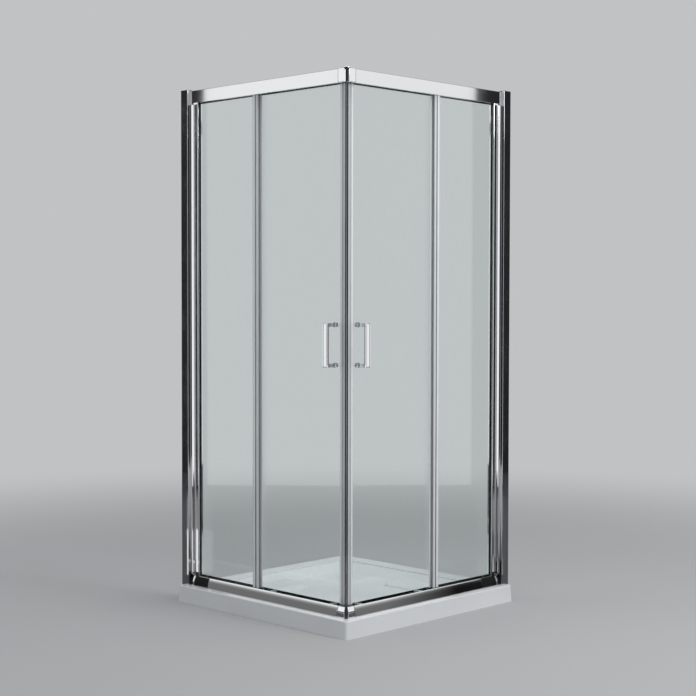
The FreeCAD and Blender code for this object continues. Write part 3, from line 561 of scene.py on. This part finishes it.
def makeAcrylic():
    material, tree, shader, position = startFinish("whiteAcrylic")
    drift = addGrain(tree, position, acrylic["drift"]).outputs["Mask"]
    peel = addGrain(tree, position, acrylic["peelGrain"]).outputs["Height"]
    strands = addGrain(tree, position, laminate["strandGrain"]).outputs["Height"]
    normal = addNode(tree, "ShaderNodeNewGeometry").outputs["True Normal"]
    below = combine(tree, "LESS_THAN", splitPlace(tree, position)["Z"], laminate["top"])
    down = combine(tree, "LESS_THAN", splitPlace(tree, normal)["Z"], laminate["downward"])
    bare = combine(tree, "MULTIPLY", below, down)
    skin = mixColours(tree, drift, acrylic["shade"], acrylic["white"])
    feed(tree, mixColours(tree, bare, skin, laminate["colour"]), shader.inputs["Base Color"])
    gloss = spreadValue(tree, drift, acrylic["smooth"], acrylic["dull"])
    feed(tree, mixNumbers(tree, bare, gloss, laminate["dull"]), shader.inputs["Roughness"])
    under = addRelief(tree, peel, acrylic["peel"])
    coarse = combine(tree, "MULTIPLY", strands, bare)
    feed(tree, addRelief(tree, coarse, laminate["strands"], under), shader.inputs["Normal"])
    shader.inputs["IOR"].default_value = acrylic["index"]
    return material


glassFacts = {
    "clear": (0.965, 0.988, 0.982), "edge": (0.36, 0.60, 0.53), "edgeDull": 0.08,
    "rippleGrain": (5.0, 5.0, 2.2), "ripple": 3e-5,
    "headOn": 0.043, "gloss": 0.015, "slantBlend": 0.5, "slantPower": 5,   # it mirrors more at a slant
    "haze": (0.80, 0.84, 0.84), "hazeShare": 0.02, "drops": (90.0, 90.0, 40.0), "dropRange": (0.45, 0.80),
}


def mixShaders(tree, share, first, second):
    mix = addNode(tree, "ShaderNodeMixShader")
    tree.links.new(share, mix.inputs["Fac"])
    tree.links.new(first, mix.inputs[1])
    tree.links.new(second, mix.inputs[2])
    return mix.outputs[0]


def addSlant(tree, blend, normal=None):
    slant = addNode(tree, "ShaderNodeLayerWeight")
    slant.inputs["Blend"].default_value = blend
    if normal is not None:
        tree.links.new(normal, slant.inputs["Normal"])
    return slant.outputs["Facing"]


def makeGlass(name, way):
    # clear faces, a green polished edge, dried drops, and the slight ripple of toughening
    material, tree, shader, position = startFinish(name)
    normal = addNode(tree, "ShaderNodeNewGeometry").outputs["True Normal"]
    face = addNode(tree, "ShaderNodeGroup", node_tree=facingGroup)
    face.inputs["Way"].default_value = way
    tree.links.new(normal, face.inputs["Normal"])
    ripple = addGrain(tree, position, glassFacts["rippleGrain"]).outputs["Height"]
    rippled = addRelief(tree, ripple, glassFacts["ripple"])
    feed(tree, rippled, shader.inputs["Normal"])
    clear = addNode(tree, "ShaderNodeBsdfTransparent")
    clear.inputs["Color"].default_value = (*glassFacts["clear"], 1)
    mirror = addNode(tree, "ShaderNodeBsdfGlossy")
    mirror.inputs["Roughness"].default_value = glassFacts["gloss"]
    tree.links.new(rippled, mirror.inputs["Normal"])
    slant = addSlant(tree, glassFacts["slantBlend"], rippled)
    steep = combine(tree, "POWER", slant, glassFacts["slantPower"])
    mirrored = spreadValue(tree, steep, glassFacts["headOn"], 1)
    pane = mixShaders(tree, mirrored, clear.outputs[0], mirror.outputs[0])
    drops = addGrain(tree, position, glassFacts["drops"], glassFacts["dropRange"]).outputs["Mask"]
    haze = addNode(tree, "ShaderNodeBsdfDiffuse")
    haze.inputs["Color"].default_value = (*glassFacts["haze"], 1)
    hazed = combine(tree, "MULTIPLY", drops, glassFacts["hazeShare"])
    hazy = mixShaders(tree, hazed, pane, haze.outputs[0])
    shader.inputs["Base Color"].default_value = (*glassFacts["edge"], 1)
    shader.inputs["Roughness"].default_value = glassFacts["edgeDull"]
    whole = mixShaders(tree, face.outputs["Mask"], shader.outputs[0], hazy)
    tree.links.new(whole, tree.nodes["Material Output"].inputs["Surface"])
    return material


# Each tone of the vinyl: its colours and how much of what lies behind it shows head-on; pale lines are
# painted highlight, dark grey ones painted shade
vinyl = {
    "plain": {"pale": (0.84, 0.865, 0.875), "deep": (0.76, 0.79, 0.805), "through": 0.58},
    "milky": {"pale": (0.95, 0.96, 0.965), "deep": (0.93, 0.94, 0.95), "through": 0.22},
    "dusky": {"pale": (0.30, 0.33, 0.34), "deep": (0.24, 0.27, 0.28), "through": 0.40},
    "magnet": {"pale": (0.045, 0.047, 0.05), "deep": (0.03, 0.032, 0.035), "through": 0.03},
}
vinylSurface = {
    "smooth": 0.07, "dull": 0.18, "flow": 2.5e-5, "through": (0.95, 0.97, 0.975), "index": 1.53,
    "flowGrain": (300.0, 300.0, 5.0), "drift": (20.0, 20.0, 6.0), "slantBlend": 0.5,
}
# The lines along each seal: where each starts and ends, in millimetres along the left side, and its tone:
# painted highlight, painted shade, or the magnet strip's black
sealLines = {
    "fixed_edge_seal": ((-61.0, -53.0, "milky"), (-53.0, -46.5, "dusky"), (-46.5, -40.0, "milky")),
    "door_trailing_seal": ((-61.0, -51.5, "dusky"), (-51.5, -46.0, "milky"), (-46.0, -44.0, "dusky"),
                           (-44.0, -33.0, "milky")),
    "door_magnet_seal": ((363.0, 371.0, "milky"), (371.0, 372.6, "dusky"), (385.2, 400.0, "magnet")),
}


def makeVinyl(name, side, lines):
    # clear extruded vinyl, a little cloudy, with lines of painted highlight, painted shade and the magnet
    # strip's black along its length
    material, tree, shader, position = startFinish(name)
    flow = addGrain(tree, position, vinylSurface["flowGrain"]).outputs["Mask"]
    driftGrain = addGrain(tree, position, vinylSurface["drift"])
    drift = driftGrain.outputs["Mask"]
    place = splitPlace(tree, position)
    across = place["X"] if side == "left" else combine(tree, "MULTIPLY", place["Y"], -1)
    colour = mixColours(tree, drift, vinyl["plain"]["deep"], vinyl["plain"]["pale"])
    through = vinyl["plain"]["through"]
    # each line paints its highlight or its shade across the seal, or shows the magnet strip
    for start, end, tone in lines:
        inside = addNode(tree, "ShaderNodeMath", operation="COMPARE")
        inside.inputs[1].default_value = (start + end) / 2 * mm
        inside.inputs[2].default_value = (end - start) / 2 * mm
        tree.links.new(across, inside.inputs[0])
        own = mixColours(tree, drift, vinyl[tone]["deep"], vinyl[tone]["pale"])
        colour = mixColours(tree, inside.outputs[0], colour, own)
        through = mixNumbers(tree, inside.outputs[0], through, vinyl[tone]["through"])
    feed(tree, colour, shader.inputs["Base Color"])
    gloss = spreadValue(tree, flow, vinylSurface["smooth"], vinylSurface["dull"])
    feed(tree, gloss, shader.inputs["Roughness"])
    relief = addRelief(tree, driftGrain.outputs["Height"], vinylSurface["flow"])
    feed(tree, relief, shader.inputs["Normal"])
    shader.inputs["IOR"].default_value = vinylSurface["index"]
    clear = addNode(tree, "ShaderNodeBsdfTransparent")
    clear.inputs["Color"].default_value = (*vinylSurface["through"], 1)
    share = spreadValue(tree, addSlant(tree, vinylSurface["slantBlend"]), through, 0)
    whole = mixShaders(tree, share, shader.outputs[0], clear.outputs[0])
    tree.links.new(whole, tree.nodes["Material Output"].inputs["Surface"])
    return material


softFinishes = {
    "blackRubber": {"pale": (0.040, 0.040, 0.043), "deep": (0.022, 0.022, 0.024),
                    "smooth": 0.50, "dull": 0.72, "grain": (700.0, 700.0, 700.0), "index": 1.5},
    "blackPlastic": {"pale": (0.038, 0.038, 0.041), "deep": (0.026, 0.026, 0.029),
                     "smooth": 0.30, "dull": 0.46, "grain": (900.0, 900.0, 900.0), "index": 1.5},
    "whiteNylon": {"pale": (0.84, 0.845, 0.83), "deep": (0.77, 0.775, 0.76),
                   "smooth": 0.30, "dull": 0.45, "grain": (500.0, 500.0, 500.0), "index": 1.52},
}
softDrift = (12.0, 12.0, 12.0)
softRelief = 2e-6


def makeSoft(name):
    facts = softFinishes[name]
    material, tree, shader, position = startFinish(name)
    grain = addGrain(tree, position, facts["grain"])
    drift = addGrain(tree, position, softDrift).outputs["Mask"]
    feed(tree, mixColours(tree, drift, facts["deep"], facts["pale"]), shader.inputs["Base Color"])
    dulled = spreadValue(tree, grain.outputs["Mask"], facts["smooth"], facts["dull"])
    feed(tree, dulled, shader.inputs["Roughness"])
    feed(tree, addRelief(tree, grain.outputs["Height"], softRelief), shader.inputs["Normal"])
    shader.inputs["IOR"].default_value = facts["index"]
    return material


finishes = {name: makeSoft(name) for name in softFinishes}
finishes["acrylic"] = makeAcrylic()
for side in sides:
    for part, lines in sealLines.items():
        finishes[side + part] = makeVinyl(side + part.title().replace("_", ""), side, lines)
finishes["glassLeft"] = makeGlass("clearGlassLeft", (0, 1, 0))
finishes["glassRight"] = makeGlass("clearGlassRight", (1, 0, 0))
for metal in ("silver", "chrome", "steel"):
    for along in "xyz":
        finishes[metal + along] = makePolished(metal + "Along" + along.upper(), polish[metal], along)
print("finishes ready:", len(finishes))


ownFinish = {
    "shower_tray": "acrylic",
    "waste_flange": "chromez", "waste_washer": "blackRubber", "waste_nut": "whiteNylon",
    "waste_grate": "chromez", "waste_screw": "steelz",
    "top_corner_connector": "chromez", "bottom_corner_connector": "chromez",
    "top_corner_key": "blackPlastic", "bottom_corner_key": "blackPlastic", "corner_screws": "steelz",
}
sideFinish = {
    "wall_profile": "silverz", "wall_profile_cap": "blackPlastic",
    "jamb": "silverz", "jamb_screws": "steelz", "rail_blocks": "silverz",
    "fixed_glass_gaskets": "blackRubber", "door_stops": "blackRubber",
    "door_handle": "chromez", "handle_fixings": "chromez",
    "roller_bolts": "steelz", "roller_bushes": "whiteNylon",
    "top_wheel_wall_side": "whiteNylon", "top_wheel_corner_side": "whiteNylon",
    "bottom_wheel_wall_side": "whiteNylon", "bottom_wheel_corner_side": "whiteNylon",
}
railWay = {"left": "x", "right": "y"}   # the axis that each side runs along, and the one across it
acrossWay = {"left": "y", "right": "x"}


def finishOf(nodeName):
    if nodeName in ownFinish:
        return ownFinish[nodeName]
    side, part = nodeName.split("_", 1)
    if part in ("top_rail", "bottom_rail"):
        return "silver" + railWay[side]
    if part in sealLines:
        return side + part
    if part in ("fixed_glass", "door_glass"):
        return "glass" + side.capitalize()
    return sideFinish[part]


for nodeName, node in nodes.items():
    node.material_slots[0].material = finishes[finishOf(nodeName)]


bodyOf = {name: body for body, names in frame["record"]["behaviour"]["bodies"].items() for name in names}
merging = {"apart": 1e-6, "turn": math.radians(0.4)}   # nearer corners and flatter faces are merged


def camelName(nodeName):
    first, *rest = nodeName.split("_")
    return first + "".join(word.capitalize() for word in rest)


def mergedCopy(nodeName):
    mesh = nodes[nodeName].data.copy()
    piece = bpy.data.objects.new(camelName(nodeName), mesh)
    bpy.context.scene.collection.objects.link(piece)
    makeActive(piece)
    bpy.ops.object.mode_set(mode="EDIT")
    bpy.ops.mesh.select_all(action="SELECT")
    bpy.ops.mesh.remove_doubles(threshold=merging["apart"])
    bpy.ops.mesh.dissolve_limited(angle_limit=merging["turn"])
    bpy.ops.object.mode_set(mode="OBJECT")
    bpy.ops.mesh.customdata_custom_splitnormals_clear()
    return piece


edgeRounding = {   # metres, of the edges that the extrusion die or the polishing wheel leaves
    "wall_profile": 0.0003, "jamb": 0.0003, "top_rail": 0.0003, "bottom_rail": 0.0003,
    "fixed_glass": 0.0007, "door_glass": 0.0007,
    "fixed_edge_seal": 0.0004, "door_magnet_seal": 0.0004, "door_trailing_seal": 0.0004,
    "door_handle": 0,   # its edges are already round
}
ownRounding = {"top_corner_connector": 0.0005, "bottom_corner_connector": 0.0005,
               "top_corner_key": 0, "bottom_corner_key": 0}
roundingSteps = 2
drawnTurn = math.radians(28)   # edges of these pieces that turn by more are rounded
blockTurn = math.radians(30)   # and so are those of the pieces made here


def bevelEdges(piece, width, segments, turn=blockTurn):
    makeActive(piece)
    bevel = piece.modifiers.new("edge", "BEVEL")
    bevel.width = width
    bevel.segments = segments
    bevel.limit_method = "ANGLE"
    bevel.angle_limit = turn
    bpy.ops.object.modifier_apply(modifier=bevel.name)


def shadeEvenly(piece):
    # keeps flat faces flat to the eye where narrow round edges join them
    makeActive(piece)
    bpy.ops.object.shade_smooth_by_angle(angle=smoothAngle)
    even = piece.modifiers.new("evenFaces", "WEIGHTED_NORMAL")
    even.weight = 100   # larger faces decide
    even.keep_sharp = True
    bpy.ops.object.modifier_apply(modifier=even.name)


# Which corners are drawn out, by how near they are to the rim's height and the outer face, and how far
footRoll = {"height": 0.3 * mm, "depth": 1.3 * mm, "out": 1.5 * mm, "face": 417.0 * mm, "rim": 62.0 * mm}


def rollFoot(piece, side):
    # draws the foot of the outer face out a little, so that the face mirrors the floor and not the rim
    inner = footRoll["face"] - footRoll["depth"]

    def onFoot(vertex):
        out = -vertex.co.y if side == "left" else vertex.co.x
        other = vertex.co.x if side == "left" else -vertex.co.y
        return abs(vertex.co.z - footRoll["rim"]) < footRoll["height"] and out > inner and other < inner

    pickCorners(piece, onFoot)
    way = (0, -footRoll["out"], 0) if side == "left" else (footRoll["out"], 0, 0)
    bpy.ops.transform.translate(value=way)
    bpy.ops.object.mode_set(mode="OBJECT")


def joinFrame(piece, nodeName):
    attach(piece, bodyOf[nodeName])
    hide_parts(nodeName)


def roundedPiece(nodeName, width):
    piece = mergedCopy(nodeName)
    if nodeName == "bottom_corner_connector":
        for side in sides:
            rollFoot(piece, side)
    elif nodeName.endswith("bottom_rail"):
        rollFoot(piece, nodeName.split("_")[0])
    if width:
        bevelEdges(piece, width, roundingSteps, drawnTurn)
    shadeEvenly(piece)
    joinFrame(piece, nodeName)


for side in sides:
    for part, width in edgeRounding.items():
        roundedPiece(side + "_" + part, width)
for nodeName, width in ownRounding.items():
    roundedPiece(nodeName, width)
print("rounded pieces ready")


# The head of a fastener is a ring of corners, drawn in here and there to make a cross or a hexagon of it
ringSides = 24
crossShares = (1.0, 1.0, 0.52, 0.366, 0.52, 1.0)   # for a quarter of the ring
hexagonTurn = 60   # degrees that one side of a hexagon spans
slack = 0.1 * mm   # how far off a corner or a face's middle may be and still count as at a place


def ringShare(kind, step):
    if kind == "cross":
        return crossShares[step % len(crossShares)]
    turn = (step * 360 / ringSides) % hexagonTurn - hexagonTurn / 2
    return round(math.cos(math.radians(hexagonTurn / 2)) / math.cos(math.radians(turn)), 4)


def ringStep(vertex):
    return round(math.degrees(math.atan2(vertex.co.y, vertex.co.x)) / (360 / ringSides)) % ringSides


def cutRecess(piece, top, ring, kind, depth, taper):
    # draws the round face at the top in to a driver's recess, and sinks it
    def middleFace(face):
        return face.normal.z > squareOn and face.center.xy.length < slack and face.center.z > top - slack

    def middleCorners():
        return {i for face in piece.data.polygons if middleFace(face) for i in face.vertices}

    pickFaces(piece, middleFace)
    bpy.ops.object.mode_set(mode="OBJECT")
    outer = max(piece.data.vertices[i].co.xy.length for i in middleCorners())
    pickFaces(piece, middleFace)
    bpy.ops.mesh.inset(thickness=outer - ring, depth=0)
    bpy.ops.object.mode_set(mode="OBJECT")
    corners = middleCorners()
    for share in sorted({ringShare(kind, step) for step in range(ringSides)}):
        pickCorners(piece, lambda vertex: vertex.index in corners
                    and ringShare(kind, ringStep(vertex)) == share)
        bpy.ops.transform.resize(value=(share, share, 1), center_override=(0, 0, top))
        bpy.ops.object.mode_set(mode="OBJECT")
    pickFaces(piece, middleFace)
    bpy.ops.mesh.extrude_region_move(TRANSFORM_OT_translate={"value": (0, 0, -depth)})
    bpy.ops.transform.resize(value=(taper, taper, 1), center_override=(0, 0, top - depth))
    bpy.ops.object.mode_set(mode="OBJECT")


def makeFastener(name, facts):
    # stands upright: its seat at height 0, its head above and its shank below
    deselectAll()
    bpy.ops.mesh.primitive_cone_add(vertices=ringSides, radius1=facts["seat"], radius2=facts["head"],
                                    depth=facts["height"], location=(0, 0, facts["height"] / 2))
    piece = bpy.context.object
    piece.name = name
    bpy.ops.object.transform_apply()
    if facts["round"]:
        pickFaces(piece, lambda face: face.normal.z > squareOn)
        bpy.ops.mesh.bevel(offset=facts["round"], segments=headSteps, affect="EDGES")
        bpy.ops.object.mode_set(mode="OBJECT")
    cutRecess(piece, facts["height"], facts["ring"], facts["recess"], facts["sink"], facts["taper"])
    pickFaces(piece, lambda face: face.normal.z < -squareOn and face.center.z < slack)
    if facts["seat"] > facts["shank"]:
        bpy.ops.mesh.inset(thickness=facts["seat"] - facts["shank"], depth=0)
    for drop in (facts["length"] - facts["tip"], facts["tip"]):
        bpy.ops.mesh.extrude_region_move(TRANSFORM_OT_translate={"value": (0, 0, -drop)})
    bpy.ops.transform.resize(value=(tipShare, tipShare, 1), center_override=(0, 0, -facts["length"]))
    bpy.ops.object.mode_set(mode="OBJECT")
    makeActive(piece)
    bpy.ops.object.shade_smooth_by_angle(angle=smoothAngle)
    return piece


def dressAs(piece, nodeName, finish):
    piece.data.materials.clear()
    piece.data.materials.append(finishes[finish])
    joinFrame(piece, nodeName)


def placeCopies(model, nodeName, finish, places):
    # a copy at each place in millimetres, its upright axis turned along the way given there
    for index, (place, way) in enumerate(places):
        piece = bpy.data.objects.new(camelName(nodeName) + model.name + str(index + 1), model.data.copy())
        bpy.context.scene.collection.objects.link(piece)
        turn = Vector((0, 0, 1)).rotation_difference(Vector(way)).to_matrix().to_4x4()
        piece.matrix_world = Matrix.Translation(Vector(place) * mm) @ turn
        makeActive(piece)
        bpy.ops.object.transform_apply()
        dressAs(piece, nodeName, finish)


def onSide(side, x, y, z):
    # a place on the left side, or its twin on the right one, and the way in from there
    if side == "left":
        return (x, y, z), (0, 1, 0)
    return (-y, -x, z), (-1, 0, 0)


# The fasteners; x, y and heights are their places on the left side, in millimetres
jambScrew = {
    "seat": 4.5 * mm, "head": 4.3 * mm, "height": 2.6 * mm, "round": 1.3 * mm,
    "recess": "cross", "ring": 2.2 * mm, "sink": 1.5 * mm, "taper": 0.6,
    "shank": 2.0 * mm, "length": 13.0 * mm, "tip": 2.0 * mm,
    "x": -430, "y": -369.8, "heights": (249, 989, 1729),
}
wasteScrew = {
    "seat": 2.0 * mm, "head": 4.2 * mm, "height": 2.2 * mm, "round": 0,
    "recess": "cross", "ring": 2.6 * mm, "sink": 1.6 * mm, "taper": 0.6,
    "shank": 2.0 * mm, "length": 6.8 * mm, "tip": 1.5 * mm,
    "place": (225, -225, 26.3),
}
handleHoles = {"x": 335, "heights": (921.3, 1059.7)}
handleCap = {
    "seat": 8.0 * mm, "head": 8.0 * mm, "height": 4.5 * mm, "round": 2.0 * mm,
    "recess": "hexagon", "ring": 2.9 * mm, "sink": 2.6 * mm, "taper": 0.97,
    "shank": 3.0 * mm, "length": 19.4 * mm, "tip": 1.0 * mm,
    "y": -385.5, **handleHoles,
}
handlePad = {
    "radius": 8.5 * mm, "height": 1.5 * mm, "bore": 3.1 * mm, "edge": 0.45 * mm, "steps": 3, "sides": 32,
    "y": -393.0, **handleHoles,
}
headSteps = 4
tipShare = 0.55   # how much of its width a shank keeps at its tip


def makePad(name, facts):
    deselectAll()
    bpy.ops.mesh.primitive_cylinder_add(vertices=facts["sides"], radius=facts["radius"],
                                        depth=facts["height"], location=(0, 0, facts["height"] / 2))
    piece = bpy.context.object
    piece.name = name
    bpy.ops.object.transform_apply()
    pickFaces(piece, lambda face: abs(face.normal.z) > squareOn)
    bpy.ops.mesh.inset(thickness=facts["radius"] - facts["bore"], depth=0, use_individual=True)
    bpy.ops.object.mode_set(mode="OBJECT")
    pickFaces(piece, lambda face: abs(face.normal.z) > squareOn and face.center.xy.length < slack)
    bpy.ops.mesh.bridge_edge_loops()
    bpy.ops.object.mode_set(mode="OBJECT")
    bevelEdges(piece, facts["edge"], facts["steps"])
    bpy.ops.object.shade_smooth_by_angle(angle=smoothAngle)
    return piece


def pickEdges(piece, wanted):
    # leaves the piece in edit mode with only the wanted edges selected, by their two ends
    makeActive(piece)
    bpy.ops.object.mode_set(mode="EDIT")
    bpy.ops.mesh.select_mode(type="EDGE")
    bpy.ops.mesh.select_all(action="DESELECT")
    bpy.ops.object.mode_set(mode="OBJECT")
    ends = piece.data.vertices
    for edge in piece.data.edges:
        edge.select = wanted(ends[edge.vertices[0]].co, ends[edge.vertices[1]].co)
    bpy.ops.object.mode_set(mode="EDIT")


# The polished covers on the lobes of both corner connectors, in millimetres on the left side
lobeCovers = {
    "topLobeCover": {"node": "top_corner_connector", "x": (375.1, 407.9), "y": (-417.9, -416.0),
                     "z": (1877.2, 1924.4), "corners": (("outer", "high", 10.0),), "round": 1.7},
    "lowLobeCover": {"node": "bottom_corner_connector", "x": (375.3, 407.9), "y": (-417.9, -416.0),
                     "z": (62.4, 81.8), "foot": 1.4, "corners": (), "round": 1.5},
    "lowLobeHead": {"node": "bottom_corner_connector", "x": (375.3, 407.9), "y": (-417.9, -416.0),
                    "z": (84.0, 101.6), "lean": 4.5,
                    "corners": (("outer", "low", 3.0), ("inner", "low", 3.0)), "round": 1.7},
}
lobeSteps = {"corner": 8, "round": 5}
# The black noses of the corner keys, which fill the notches: partly the keys' black plastic, partly painted
# shade deep in the notches; heights, and how the upper part draws back
notchShadeNoses = {
    "topKeyNose": {"node": "top_corner_key", "z": (1877.6, 1923.8), "rise": 0},
    "bottomKeyNose": {"node": "bottom_corner_key", "z": (62.4, 83.0), "rise": 17.0, "back": 3.0,
                      "narrow": 0.5},
}
notchShadeNose = {"middle": (408.6, -408.6), "width": 12.0, "depth": 8.6, "turn": math.radians(45),
           "edge": 0.6, "steps": 3}
# Black strips in the corner keys' plastic that stand in for the shade in the seams' gaps, as painted shade,
# and a black lid on the bottom key; boxes in millimetres on the left side
seamShadeStrips = {
    "topSeam": {"node": "top_corner_key", "x": (373.9, 375.2), "y": (-417.3, -415.6),
                "z": (1877.4, 1923.4)},
    "lowSeam": {"node": "bottom_corner_key", "x": (373.8, 375.3), "y": (-417.5, -415.6),
                "z": (62.3, 82.9), "foot": 1.4},
    "highSeam": {"node": "bottom_corner_key", "x": (373.8, 375.3), "y": (-417.5, -415.6),
                 "z": (82.7, 100.4), "lean": 4.4},
    "crossSeam": {"node": "bottom_corner_key", "x": (375.2, 407.5), "y": (-417.3, -415.6),
                  "z": (81.4, 84.4), "lean": 0.3},
    "keyLid": {"node": "bottom_corner_key", "x": (372.4, 409.0), "y": (-411.6, -393.4),
               "z": (96.0, 101.5)},
}
seamShadeStrip = {"edge": 0.3, "steps": 2}


def makeBlock(name, facts):
    # a block between the places given, leant back by its top and drawn forward by its foot
    (x0, x1), (y0, y1), (z0, z1) = (tuple(v * mm for v in facts[axis]) for axis in "xyz")
    deselectAll()
    bpy.ops.mesh.primitive_cube_add(size=1, location=((x0 + x1) / 2, (y0 + y1) / 2, (z0 + z1) / 2),
                                    scale=(x1 - x0, y1 - y0, z1 - z0))
    piece = bpy.context.object
    piece.name = name
    bpy.ops.object.transform_apply()
    for key, way in (("lean", 1), ("foot", -1)):
        if facts.get(key):
            pickFaces(piece, lambda face: face.normal.z * way > squareOn)
            bpy.ops.transform.translate(value=(0, facts[key] * way * mm, 0))
            bpy.ops.object.mode_set(mode="OBJECT")
    return piece


def makeSeamShadeStrip(name, facts):
    piece = makeBlock(name, facts)
    bevelEdges(piece, seamShadeStrip["edge"] * mm, seamShadeStrip["steps"])
    shadeEvenly(piece)
    return piece


def makeLobeCover(name, facts):
    piece = makeBlock(name, facts)
    for across, level, radius in facts["corners"]:
        x = facts["x"][across == "outer"] * mm
        z = facts["z"][level == "high"] * mm
        pickEdges(piece, lambda a, b: all(abs(p.x - x) < slack and abs(p.z - z) < slack for p in (a, b)))
        bpy.ops.mesh.bevel(offset=radius * mm, segments=lobeSteps["corner"], affect="EDGES")
        bpy.ops.object.mode_set(mode="OBJECT")
    pickFaces(piece, lambda face: face.normal.y < -squareOn)
    bpy.ops.mesh.bevel(offset=facts["round"] * mm, segments=lobeSteps["round"], affect="EDGES")
    bpy.ops.object.mode_set(mode="OBJECT")
    shadeEvenly(piece)
    return piece


def makeNotchShadeNose(name, facts):
    z0, z1 = (v * mm for v in facts["z"])
    x, y = (v * mm for v in notchShadeNose["middle"])
    deselectAll()
    bpy.ops.mesh.primitive_cube_add(
        size=1, location=(x, y, (z0 + z1) / 2), rotation=(0, 0, notchShadeNose["turn"]),
        scale=(notchShadeNose["width"] * mm, notchShadeNose["depth"] * mm, z1 - z0))
    piece = bpy.context.object
    piece.name = name
    bpy.ops.object.transform_apply()
    if facts["rise"]:
        back, rise = facts["back"] * mm, facts["rise"] * mm
        pickFaces(piece, lambda face: face.normal.z > squareOn)
        bpy.ops.mesh.extrude_region_move(TRANSFORM_OT_translate={"value": (-back, back, rise)})
        bpy.ops.transform.resize(value=(facts["narrow"], facts["narrow"], 1),
                                 center_override=(x - back, y + back, z1 + rise))
        bpy.ops.object.mode_set(mode="OBJECT")
    bevelEdges(piece, notchShadeNose["edge"] * mm, notchShadeNose["steps"])
    bpy.ops.object.shade_smooth_by_angle(angle=smoothAngle)
    return piece


def twinOf(piece, name):
    # the right side's twin: x and y change places and signs, which turns the faces inside out
    twin = bpy.data.objects.new(name, piece.data.copy())
    bpy.context.scene.collection.objects.link(twin)
    twin.matrix_world = Matrix(((0, -1, 0, 0), (-1, 0, 0, 0), (0, 0, 1, 0), (0, 0, 0, 1)))
    makeActive(twin)
    bpy.ops.object.transform_apply()
    bpy.ops.object.mode_set(mode="EDIT")
    bpy.ops.mesh.select_all(action="SELECT")
    bpy.ops.mesh.normals_make_consistent(inside=False)
    bpy.ops.object.mode_set(mode="OBJECT")
    bpy.ops.mesh.customdata_custom_splitnormals_clear()
    shadeEvenly(twin)
    return twin


for name, facts in lobeCovers.items():
    cover = makeLobeCover(name + "Left", facts)
    dressAs(cover, facts["node"], "chromez")
    dressAs(twinOf(cover, name + "Right"), facts["node"], "chromez")
# the seam strips are painted shade, in the keys' black plastic
for name, facts in seamShadeStrips.items():
    strip = makeSeamShadeStrip(name + "Left", facts)
    dressAs(strip, facts["node"], "blackPlastic")
    dressAs(twinOf(strip, name + "Right"), facts["node"], "blackPlastic")
# black noses that are partly the keys' plastic and partly painted shade
for name, facts in notchShadeNoses.items():
    dressAs(makeNotchShadeNose(name, facts), facts["node"], "blackPlastic")
print("front corner ready")


def placesOf(facts, side):
    return [onSide(side, facts["x"], facts["y"], height) for height in facts["heights"]]


models = {"screw": makeFastener("Screw", jambScrew), "wasteScrew": makeFastener("Head", wasteScrew),
          "cap": makeFastener("Cap", handleCap), "pad": makePad("Pad", handlePad)}
placeCopies(models["wasteScrew"], "waste_screw", "steelz", [(wasteScrew["place"], (0, 0, 1))])
for side in sides:
    way = acrossWay[side]
    placeCopies(models["screw"], side + "_jamb_screws", "steel" + way, placesOf(jambScrew, side))
    placeCopies(models["cap"], side + "_handle_fixings", "chrome" + way, placesOf(handleCap, side))
    placeCopies(models["pad"], side + "_handle_fixings", "blackRubber", placesOf(handlePad, side))
for model in models.values():
    bpy.data.objects.remove(model)
print("fasteners ready")
